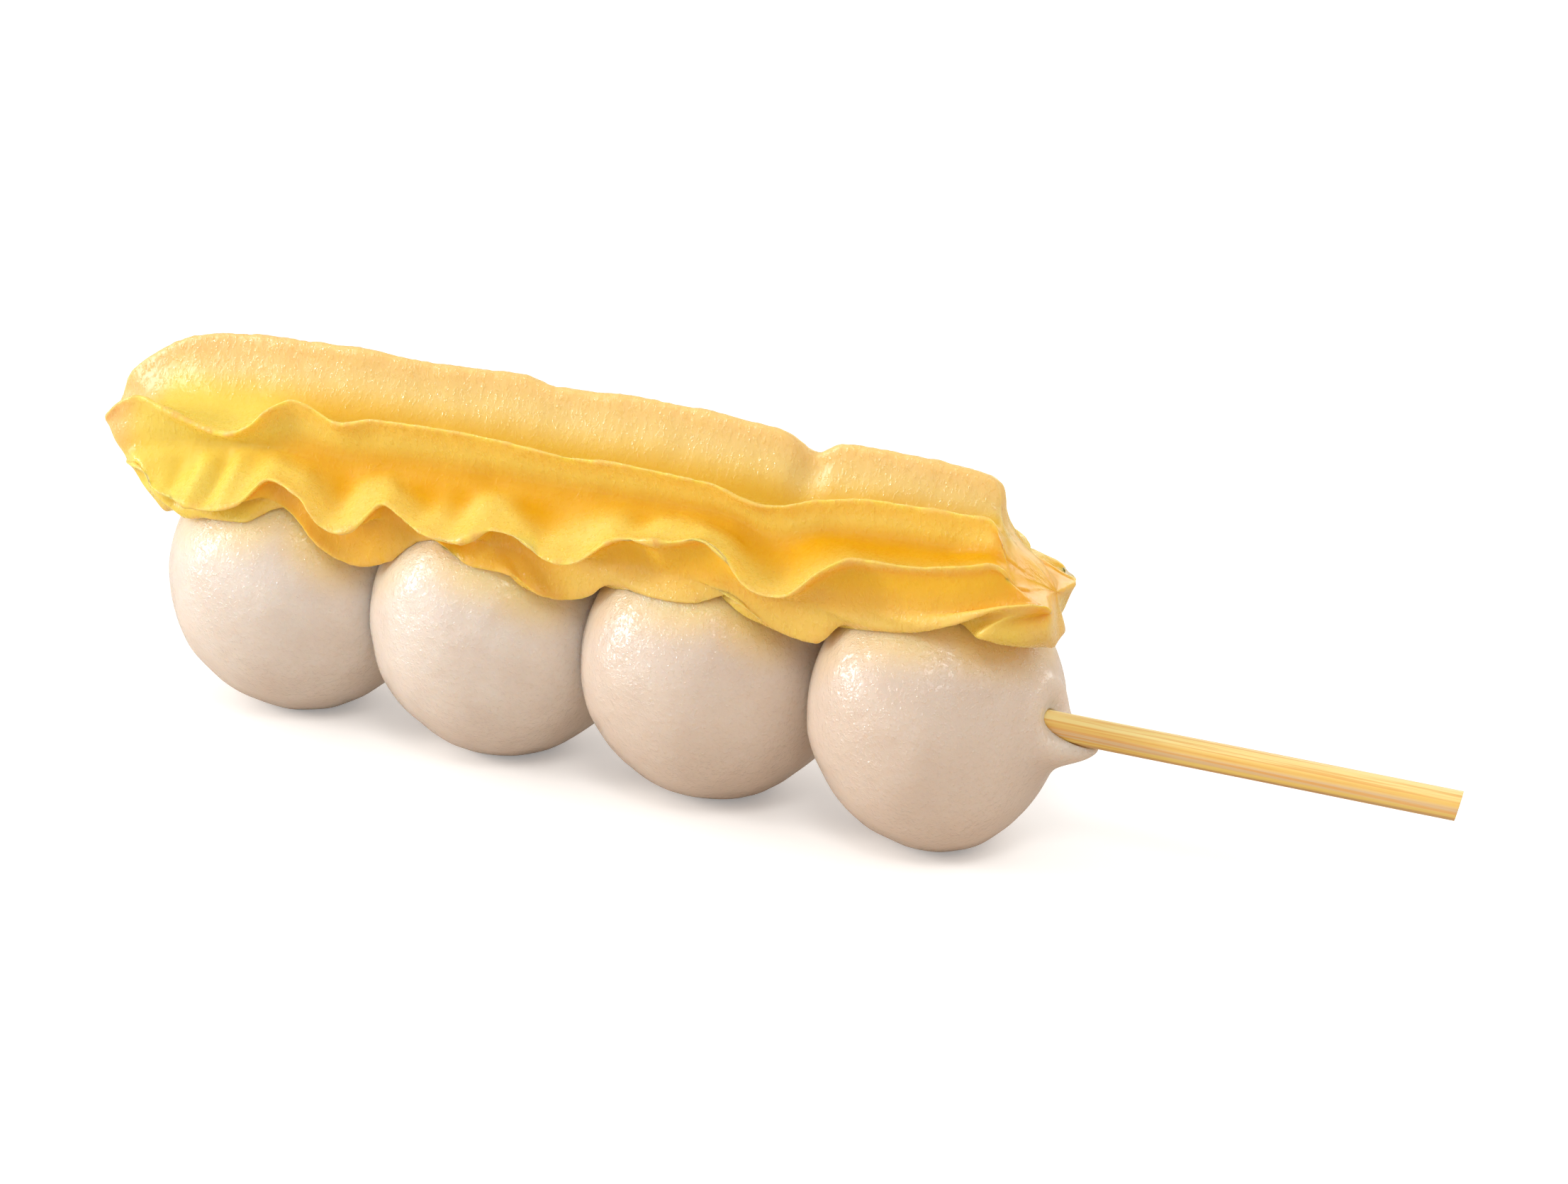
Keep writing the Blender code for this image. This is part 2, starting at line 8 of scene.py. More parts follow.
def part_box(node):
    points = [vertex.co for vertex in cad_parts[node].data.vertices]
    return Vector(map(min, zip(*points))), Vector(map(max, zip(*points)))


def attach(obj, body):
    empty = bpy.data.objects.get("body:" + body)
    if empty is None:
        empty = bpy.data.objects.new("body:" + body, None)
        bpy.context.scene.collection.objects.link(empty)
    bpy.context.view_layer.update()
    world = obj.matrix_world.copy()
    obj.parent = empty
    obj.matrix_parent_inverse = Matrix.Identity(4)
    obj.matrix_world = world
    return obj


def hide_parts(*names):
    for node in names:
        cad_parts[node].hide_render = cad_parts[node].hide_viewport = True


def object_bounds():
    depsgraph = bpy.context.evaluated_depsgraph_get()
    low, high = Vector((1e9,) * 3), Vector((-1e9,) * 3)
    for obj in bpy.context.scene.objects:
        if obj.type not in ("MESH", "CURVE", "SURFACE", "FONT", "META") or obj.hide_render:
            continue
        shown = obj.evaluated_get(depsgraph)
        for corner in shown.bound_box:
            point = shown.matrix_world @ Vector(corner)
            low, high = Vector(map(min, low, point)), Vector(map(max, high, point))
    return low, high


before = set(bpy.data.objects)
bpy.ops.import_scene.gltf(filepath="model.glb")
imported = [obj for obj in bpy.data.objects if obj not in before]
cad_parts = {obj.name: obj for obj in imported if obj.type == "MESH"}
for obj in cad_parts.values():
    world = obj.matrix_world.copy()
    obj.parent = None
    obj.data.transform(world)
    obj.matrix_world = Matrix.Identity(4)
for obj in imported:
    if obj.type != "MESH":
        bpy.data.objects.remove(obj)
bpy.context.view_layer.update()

mm = 0.001

# Shapes are written in millimetres from the middle of the row of dumplings, on the row's own axis.
rowPlace = {"stickEnd": 95.38, "axisHeight": 14.0}
rowOrigin = Vector((
    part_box("skewer")[1].x - rowPlace["stickEnd"] * mm,
    0.0,
    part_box("ball_2")[0].z + rowPlace["axisHeight"] * mm,
))


def tone(red, green, blue):
    # a colour as a painter's palette shows it, turned into the linear values that shaders take
    def linear(value):
        value = value / 255
        return value / 12.92 if value <= 0.04045 else ((value + 0.055) / 1.055) ** 2.4

    return (linear(red), linear(green), linear(blue), 1.0)


def stepped(low, high, value):
    # 0 below low, 1 above high, and smooth between
    t = np.clip((value - low) / (high - low), 0.0, 1.0)
    return t * t * (3 - 2 * t)


def curveAt(rows, xs):
    # y and z of a smooth curve through rows of (x, y, z), at each x, level where it turns back
    rows = np.array(rows, float)
    x, values = rows[:, 0], rows[:, 1:]
    rates = np.diff(values, axis=0) / np.diff(x)[:, None]
    product, total = rates[:-1] * rates[1:], rates[:-1] + rates[1:]
    inner = np.where(product > 0, 2 * product / np.where(total == 0, 1, total), 0)
    slopes = np.concatenate([rates[:1], inner, rates[-1:]])
    xs = np.clip(xs, x[0], x[-1])
    k = np.clip(np.searchsorted(x, xs, side="right") - 1, 0, len(x) - 2)
    span = (x[k + 1] - x[k])[:, None]
    t = ((xs - x[k]) / span[:, 0])[:, None]
    return (
        values[k] * (2 * t**3 - 3 * t**2 + 1) + values[k + 1] * (3 * t**2 - 2 * t**3)
        + span * (slopes[k] * (t**3 - 2 * t**2 + t) + slopes[k + 1] * (t**3 - t**2))
    )


def softened(control, steps, axis, closed):
    # a smooth B-spline through a grid of control points, along one of its axes
    grid = np.moveaxis(control, axis, 0)
    if closed:
        grid = np.concatenate([grid[-1:], grid, grid[:2]])
    else:
        grid = np.concatenate([2 * grid[:1] - grid[1:2], grid, 2 * grid[-1:] - grid[-2:-1]])
    segments = len(grid) - 3
    parts = []
    for step in range(steps):
        t = step / steps
        weights = ((1 - t) ** 3, 3 * t**3 - 6 * t**2 + 4, -3 * t**3 + 3 * t**2 + 3 * t + 1, t**3)
        parts.append(sum(w * grid[n:n + segments] for n, w in enumerate(weights)) / 6)
    dense = np.stack(parts, 1).reshape(segments * steps, *grid.shape[1:])
    if not closed:
        dense = np.concatenate([dense, (grid[-3:-2] + 4 * grid[-2:-1] + grid[-1:]) / 6])
    return np.moveaxis(dense, 0, axis)


def gridFaces(rings, sides, endless=False):
    # quads over rings of points, closed round each ring
    lightAndShadeBands = rings if endless else rings - 1
    first, second = np.meshgrid(np.arange(lightAndShadeBands), np.arange(sides), indexing="ij")
    nextRing, nextSide = (first + 1) % rings, (second + 1) % sides
    corners = (first * sides + second, first * sides + nextSide,
               nextRing * sides + nextSide, nextRing * sides + second)
    return np.stack([c.ravel() for c in corners], 1).tolist()


def closedFaces(rings, sides):
    # the same, with each end fanned to a point of its own; the two points come after the rings
    tip, end, last = rings * sides, rings * sides + 1, (rings - 1) * sides
    faces = gridFaces(rings, sides)
    faces += [[tip, (j + 1) % sides, j] for j in range(sides)]
    faces += [[end, last + j, last + (j + 1) % sides] for j in range(sides)]
    return faces


def newObject(name, data):
    obj = bpy.data.objects.new(name, data)
    bpy.context.scene.collection.objects.link(obj)
    return obj


def makePiece(name, points, faces, material, shades):
    # a smooth mesh piece from points in row millimetres, with per-point values for its material
    mesh = bpy.data.meshes.new(name)
    world = np.asarray(points, float).reshape(-1, 3) * mm + np.array(rowOrigin)
    mesh.from_pydata(world.tolist(), [], faces)
    for label, values in shades.items():
        layer = mesh.attributes.new(label, "FLOAT", "POINT")
        layer.data.foreach_set("value", np.asarray(values, np.float32).ravel())
    mesh.validate()
    mesh.shade_smooth()
    mesh.materials.append(material)
    obj = newObject(name, mesh)
    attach(obj, "root")
    return obj


def turnedOut(points, faces):
    # the same faces, in the order that makes them point outwards
    triangles = [(face[0], face[n], face[n + 1]) for face in faces for n in range(1, len(face) - 1)]
    a, b, c = (np.asarray(points, float)[list(corner)] for corner in zip(*triangles))
    volume = np.einsum("ij,ij->i", a, np.cross(b, c)).sum()
    return faces if volume > 0 else [face[::-1] for face in faces]


def roughNoise(points, size, seed):
    # one value of smooth noise for each point, with lumps about size across
    shift = Vector((seed * 17.3, seed * 5.1, seed * 9.7))
    flat = (points.reshape(-1, 3) / size).tolist()
    return np.array([noise.noise(Vector(p) + shift) for p in flat]).reshape(points.shape[:-1])


def gridNormals(grid):
    # unit normals of a grid of points that is closed along its second axis
    along = np.gradient(grid, axis=0)
    around = np.roll(grid, -1, axis=1) - np.roll(grid, 1, axis=1)
    normal = np.cross(around, along)
    length = np.linalg.norm(normal, axis=2, keepdims=True)
    return normal / np.maximum(length, 1e-9)


print("building: shader groups")


def newGroup(name, inputs, outputs):
    group = bpy.data.node_groups.new(name, "ShaderNodeTree")
    for label, kind, value in inputs:
        kind = f"NodeSocket{kind}"
        socket = group.interface.new_socket(label, in_out="INPUT", socket_type=kind)
        socket.default_value = value
    for label, kind in outputs:
        group.interface.new_socket(label, in_out="OUTPUT", socket_type=f"NodeSocket{kind}")
    start = group.nodes.new("NodeGroupInput")
    end = group.nodes.new("NodeGroupOutput")
    return group, start, end


def feedSocket(tree, socket, value):
    # an input takes a value, or the output socket that feeds it
    if isinstance(value, bpy.types.NodeSocket):
        tree.links.new(value, socket)
    else:
        socket.default_value = value


def feedNode(tree, node, sockets):
    for label, value in sockets.items():
        feedSocket(tree, node.inputs[label], value)


def addNode(tree, kind, sockets=None, **settings):
    node = tree.nodes.new(kind)
    for label, value in settings.items():
        setattr(node, label, value)
    feedNode(tree, node, sockets or {})
    return node


def mathNode(tree, operation, first, second):
    return addNode(tree, "ShaderNodeMath", {0: first, 1: second}, operation=operation).outputs[0]


def mixNode(tree, share, first, second):
    node = addNode(tree, "ShaderNodeMix", data_type="RGBA")
    for label, value in (("Factor_Float", share), ("A_Color", first), ("B_Color", second)):
        feedSocket(tree, next(s for s in node.inputs if s.identifier == label), value)
    return next(s for s in node.outputs if s.identifier == "Result_Color")


def rangeNode(tree, value, low=0.0, high=1.0, start=0.0, end=1.0, **settings):
    # start where the value is low, end where it is high, and between them in between
    sockets = {"Value": value, "From Min": low, "From Max": high, "To Min": start, "To Max": end}
    return addNode(tree, "ShaderNodeMapRange", sockets, **settings).outputs[0]


def noiseNode(tree, vector, scale, detail, roughness):
    sockets = {"Vector": vector, "Scale": scale, "Detail": detail, "Roughness": roughness}
    return addNode(tree, "ShaderNodeTexNoise", sockets).outputs[0]


def makeMoistSkin():
    # the fine unevenness of a moist, starchy skin: a height for Bump, and a mask of its wetter dots
    group, start, end = newGroup(
        "moistSkin",
        [("Vector", "Vector", (0, 0, 0)), ("Grain Scale", "Float", 2500.0),
         ("Ripple Scale", "Float", 500.0), ("Ripple Share", "Float", 0.6)],
        [("Height", "Float"), ("Wet", "Float")],
    )
    given = start.outputs
    grain = noiseNode(group, given["Vector"], given["Grain Scale"], 2.0, 0.6)
    ripple = noiseNode(group, given["Vector"], given["Ripple Scale"], 3.0, 0.55)
    rippleHeight = mathNode(group, "MULTIPLY", ripple, given["Ripple Share"])
    raised = mathNode(group, "MAXIMUM", grain, 0.5)
    height = mathNode(group, "ADD", raised, rippleHeight)
    feedNode(group, end, {"Height": height, "Wet": rangeNode(group, grain, 0.52, 0.6)})
    return group


def makeCloudyTint():
    # slow drifts between two colours, as in anything cooked or grown
    group, start, end = newGroup(
        "cloudyTint",
        [("Vector", "Vector", (0, 0, 0)), ("Scale", "Float", 120.0), ("Amount", "Float", 0.5),
         ("Base", "Color", (1, 1, 1, 1)), ("Drift", "Color", (1, 1, 1, 1))],
        [("Color", "Color")],
    )
    given = start.outputs
    cloud = noiseNode(group, given["Vector"], given["Scale"], 4.0, 0.6)
    share = mathNode(group, "MULTIPLY", rangeNode(group, cloud, 0.35, 0.65), given["Amount"])
    feedNode(group, end, {"Color": mixNode(group, share, given["Base"], given["Drift"])})
    return group


moistSkin = makeMoistSkin()
cloudyTint = makeCloudyTint()


def newMaterial(name):
    material = bpy.data.materials.new(name)
    material.use_nodes = True
    tree = material.node_tree
    shader = tree.nodes["Principled BSDF"]
    place = addNode(tree, "ShaderNodeTexCoord").outputs["Object"]
    return material, tree, shader, place


def tintedColor(tree, place, look, base, drift):
    sockets = {"Vector": place, "Scale": look["driftScale"], "Amount": look["driftShare"],
               "Base": base, "Drift": drift}
    return addNode(tree, "ShaderNodeGroup", sockets, node_tree=cloudyTint).outputs["Color"]


def moistOutputs(tree, place, look):
    sockets = {"Vector": place, "Grain Scale": look["grainScale"],
               "Ripple Scale": look["rippleScale"], "Ripple Share": look["rippleShare"]}
    outputs = addNode(tree, "ShaderNodeGroup", sockets, node_tree=moistSkin).outputs
    return outputs["Height"], outputs["Wet"]


def stretched(tree, place, scale):
    return addNode(tree, "ShaderNodeMapping", {"Vector": place, "Scale": scale}).outputs[0]


def pointShade(tree, label):
    return addNode(tree, "ShaderNodeAttribute", attribute_name=label).outputs["Fac"]


reliefFade = {"from": 0.38, "to": 0.68, "left": 0.15}


def bumpNode(tree, height, look):
    # fine relief, less where the surface turns away from the eye
    away = addNode(tree, "ShaderNodeLayerWeight", {"Blend": 0.5}).outputs["Facing"]
    faint = look["bump"] * reliefFade["left"]
    shown = rangeNode(tree, away, reliefFade["from"], reliefFade["to"], look["bump"], faint)
    sockets = {"Height": height, "Strength": shown, "Distance": look["bumpDepth"]}
    return addNode(tree, "ShaderNodeBump", sockets).outputs[0]


def scatterInputs(look):
    return {"Subsurface Weight": look["scatter"], "Subsurface Scale": look["scatterDepth"],
            "Subsurface Radius": look["scatterTint"]}


doughLook = {
    "skin": tone(236, 226, 216), "drift": tone(228, 214, 202), "tan": tone(222, 202, 184),
    "stainAndGlowTone": tone(255, 222, 136),
    "roughness": 0.22, "wetRoughness": 0.08,
    "scatter": 1.0, "scatterDepth": 3.2 * mm, "scatterTint": (1.0, 0.78, 0.6),
    "bump": 0.9, "bumpDepth": 0.34 * mm, "specular": 1.0, "ior": 1.42,
    "driftScale": 160.0, "driftShare": 0.7,
    "grainScale": 2400.0, "rippleScale": 700.0, "rippleShare": 0.85,
}


def makeDoughMaterial():
    look = doughLook
    material, tree, shader, place = newMaterial("riceDough")
    color = tintedColor(tree, place, look, look["skin"], look["drift"])
    # painted shade: the dumplings further from the lights on the left are mixed towards a darker tan
    color = mixNode(tree, pointShade(tree, "tan"), color, look["tan"])
    height, wet = moistOutputs(tree, place, look)
    # beside the topping the dough is partly stained by it and partly painted with the glow of light
    # through the topping
    feedNode(tree, shader, {
        "Base Color": mixNode(tree, pointShade(tree, "stainAndGlow"), color, look["stainAndGlowTone"]),
        "Roughness": rangeNode(tree, wet, start=look["roughness"], end=look["wetRoughness"]),
        "Normal": bumpNode(tree, height, look),
        "Specular IOR Level": look["specular"], "IOR": look["ior"], **scatterInputs(look)})
    return material


pasteLook = {
    "valley": tone(226, 165, 6), "face": tone(240, 208, 98), "edge": tone(232, 186, 104),
    "wall": tone(235, 207, 132), "wallRootShade": tone(230, 190, 62), "lemon": tone(240, 216, 100),
    "blush": tone(240, 198, 130), "paintedUnderside": tone(252, 194, 58), "torn": tone(248, 192, 64),
    "tornHollowShade": tone(248, 180, 44), "roughness": 0.28, "wetRoughness": 0.08,
    "scatter": 1.0, "scatterDepth": 0.7 * mm, "scatterTint": (1.0, 0.95, 0.85),
    "bump": 0.9, "bumpDepth": 0.26 * mm, "specular": (0.12, 0.5), "ior": 1.42,
    "riseRange": (0.05, 0.6), "driftScale": 220.0, "driftShare": 0.06,
    "grainStretch": (1.0, 1.0, 0.55), "grainScale": 2200.0, "rippleScale": 900.0, "rippleShare": 0.6,
    "tornWet": 0.35, "hollowRelief": 0.3,
}


def makePasteMaterial():
    look = pasteLook
    material, tree, shader, place = newMaterial("sweetPaste")
    # painted shade: the paste is deeper orange down in its hollows and at the wall's root, and paler up
    # its fins
    low, high = look["riseRange"]
    rise = rangeNode(tree, pointShade(tree, "rise"), low, high, interpolation_type="SMOOTHSTEP")
    fin = mixNode(tree, rise, look["valley"], look["face"])
    wall = mixNode(tree, rise, look["wallRootShade"], look["wall"])
    color = mixNode(tree, pointShade(tree, "wall"), fin, wall)
    # painted shade: the torn right end is deeper orange in the hollows of its relief and paler on its
    # bumps
    torn = mixNode(tree, pointShade(tree, "tornRise"), look["tornHollowShade"], look["torn"])
    tones = {**look, "torn": torn}
    for label in ("lemon", "paintedUnderside", "torn", "blush", "edge"):
        color = mixNode(tree, pointShade(tree, label), color, tones[label])
    height, dots = moistOutputs(tree, stretched(tree, place, look["grainStretch"]), look)
    tornWet = mathNode(tree, "MULTIPLY", pointShade(tree, "torn"), look["tornWet"])
    wet = mathNode(tree, "MAXIMUM", dots, tornWet)
    # the hollows stay smooth and dull
    relief = rangeNode(tree, rise, start=look["hollowRelief"])
    dull, bright = look["specular"]
    feedNode(tree, shader, {
        "Base Color": tintedColor(tree, place, look, color, look["face"]),
        "Roughness": rangeNode(tree, wet, start=look["roughness"], end=look["wetRoughness"]),
        "Normal": bumpNode(tree, mathNode(tree, "MULTIPLY", height, relief), look),
        "Specular IOR Level": rangeNode(tree, rise, start=dull, end=bright),
        "IOR": look["ior"], **scatterInputs(look)})
    return material


bambooLook = {
    "pale": tone(250, 228, 156), "straw": tone(236, 192, 98), "tan": tone(222, 188, 146),
    "line": tone(236, 204, 108), "paintedUnderside": tone(190, 142, 84), "streak": tone(228, 160, 66),
    "cut": tone(186, 122, 66), "dot": tone(140, 86, 42),
    "roughness": 0.42, "bump": 0.4, "bumpDepth": 0.06 * mm,
    "scatter": 0.15, "scatterDepth": 0.6 * mm, "scatterTint": (1.0, 0.7, 0.4),
    # painted light and shade: pale on top and darker round to the underside; from the top of the stick
    # round to its underside, as shares of half a turn
    "lightAndShadeBands": {"straw": (0.22, 0.34), "tan": (0.39, 0.46), "line": (0.56, 0.6), "paintedUnderside": (0.66, 0.72)},
    "fibreStretch": (10.0, 1500.0, 1500.0), "broadStretch": (6.0, 700.0, 700.0),
    "broadShare": 0.35, "fineShare": 0.7, "dotScale": 2600.0, "driftScale": 90.0, "driftShare": 0.15,
}


def makeBambooMaterial():
    look = bambooLook
    material, tree, shader, place = newMaterial("splitBamboo")
    fine = noiseNode(tree, stretched(tree, place, look["fibreStretch"]), 2.2, 4.0, 0.6)
    broad = noiseNode(tree, stretched(tree, place, look["broadStretch"]), 1.6, 2.0, 0.5)
    color = look["pale"]
    # bands of painted light and shade, from the lit top round to the shaded underside
    for label, (low, high) in look["lightAndShadeBands"].items():
        band = rangeNode(tree, pointShade(tree, "side"), low, high)
        color = mixNode(tree, band, color, look[label])
    broadShare = mathNode(tree, "MULTIPLY", rangeNode(tree, broad, 0.38, 0.62), look["broadShare"])
    color = mixNode(tree, broadShare, color, look["straw"])
    fineShare = mathNode(tree, "MULTIPLY", rangeNode(tree, fine, 0.49, 0.6), look["fineShare"])
    color = mixNode(tree, fineShare, color, look["streak"])
    dots = addNode(tree, "ShaderNodeTexVoronoi", {"Vector": place, "Scale": look["dotScale"]})
    dotShare = rangeNode(tree, dots.outputs["Distance"], 0.2, 0.4, 1.0, 0.0)
    cutColor = mixNode(tree, dotShare, look["cut"], look["dot"])
    color = mixNode(tree, pointShade(tree, "cut"), color, cutColor)
    feedNode(tree, shader, {
        "Base Color": tintedColor(tree, place, look, color, look["pale"]),
        "Roughness": look["roughness"],
        "Normal": bumpNode(tree, fine, look), **scatterInputs(look)})
    return material


doughMaterial = makeDoughMaterial()
pasteMaterial = makePasteMaterial()
bambooMaterial = makeBambooMaterial()

print("building: skewer")

stick = {
    "radius": 1.5, "tipX": -53.0, "endX": 94.8, "pointLength": 9.0, "pointRadius": 0.5,
    "rise": 0.0116, "middleZ": 0.1, "cutUp": 0.26, "cutBack": -0.29, "cutReach": 12.0,
    "sides": 96, "rings": 200, "pointRings": 12, "endLength": 1.0, "edgeRound": 0.07,
    "fibreRelief": 0.03, "coarseRelief": 0.03,
}


def stickZ(x):
    return stick["middleZ"] + stick["rise"] * x


def makeSkewer():
    s = stick
    tipTurn = np.linspace(0, 1, s["pointRings"])[1:]
    pointEnd, bodyEnd = s["tipX"] + s["pointLength"], s["endX"] - s["endLength"]
    body = np.linspace(pointEnd, bodyEnd, s["rings"])[1:]
    xs = [s["tipX"] + 0.02, *(s["tipX"] + s["pointLength"] * tipTurn), *body]
    widening = (s["radius"] - s["pointRadius"]) * np.sin(tipTurn * math.pi / 2)
    radii = [s["pointRadius"] * 0.4, *(s["pointRadius"] + widening), *([s["radius"]] * len(body))]
    for share in (0.35, 0.7, 0.9):
        xs.append(bodyEnd + (s["endLength"] - s["edgeRound"]) * share)
        radii.append(s["radius"])
    for turn in np.linspace(0, math.pi / 2, 5):
        xs.append(s["endX"] - s["edgeRound"] * (1 - math.sin(turn)))
        radii.append(s["radius"] - s["edgeRound"] * (1 - math.cos(turn)))
    cutShares = (0.75, 0.5, 0.25, 0.04)
    xs += [s["endX"]] * len(cutShares)
    radii += [(s["radius"] - s["edgeRound"]) * share for share in cutShares]
    xs, radii = np.array(xs), np.array(radii)
    angles = np.arange(s["sides"]) * math.tau / s["sides"]
    x, angle = np.meshgrid(xs, angles, indexing="ij")
    y, z = -np.sin(angle), np.cos(angle)
    fibres = np.stack([x * 0.02, y * 2.4, z * 2.4], 2)
    coarse = np.stack([x * 0.008, y * 0.9, z * 0.9], 2)
    relief = roughNoise(fibres, 0.5, 3) * s["fibreRelief"]
    relief = relief + roughNoise(coarse, 0.6, 4) * s["coarseRelief"]
    onSide = stepped(0.6, 0.95, radii / s["radius"])[:, None]
    radius = radii[:, None] * (1 + relief * onSide)
    y, z = y * radius, z * radius
    cut = stepped(s["endX"] - s["cutReach"], s["endX"], x)
    x = x + (s["cutUp"] * z + s["cutBack"] * y) * cut
    grid = np.stack([x, y, z + stickZ(x)], 2)
    ends = [(endX, 0, stickZ(endX)) for endX in (s["tipX"], s["endX"])]
    points = np.concatenate([grid.reshape(-1, 3), ends])
    rings, sides = grid.shape[:2]
    # how far round from the top each point is, which places the bamboo's painted light and shade
    turned = np.abs(np.mod(angle + math.pi, math.tau) - math.pi) / math.pi
    onCut = np.arange(rings) >= rings - len(cutShares) - 1
    cutFace = np.broadcast_to(onCut[:, None], turned.shape).astype(float)
    shades = {"side": np.append(turned.ravel(), [0, 0]), "cut": np.append(cutFace.ravel(), [0, 1])}
    faces = turnedOut(points, closedFaces(rings, sides))
    piece = makePiece("bambooSkewer", points, faces, bambooMaterial, shades)
    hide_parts("skewer")


makeSkewer()

print("building: sweet paste topping")

# the strip was piped through a star nozzle
strip = {
    "gap": -0.12, "bridgeRadius": 11.6, "endRadius": 10.0, "underPoints": 7,
    "underStart": (-52.6, -55.2), "underEnd": (51.6, 50.0), "turnShare": 0.05,
    "cornerInset": 4.0, "stations": 340, "aroundSteps": 5, "tipReach": 0.35, "waveReach": 26,
    "skirtRest": 0.08, "skirtDrop": 0.9, "inside": 14.0,
    "bridgeLeft": (44.0, 54.0), "bridgeRight": (44.0, 52.0),
    # each end's dome: its middle, rings and bulge
    "leftCap": ((-60.4, 0.5, 13.0), 12, -0.6), "rightCap": ((49.2, 0.4, 15.0), 20, 1.0),
    # how each end is eased: turns, and the rings where it starts and stops to fade
    "leftEase": (10, 14, 28), "rightEase": (60, 10, 21),
}
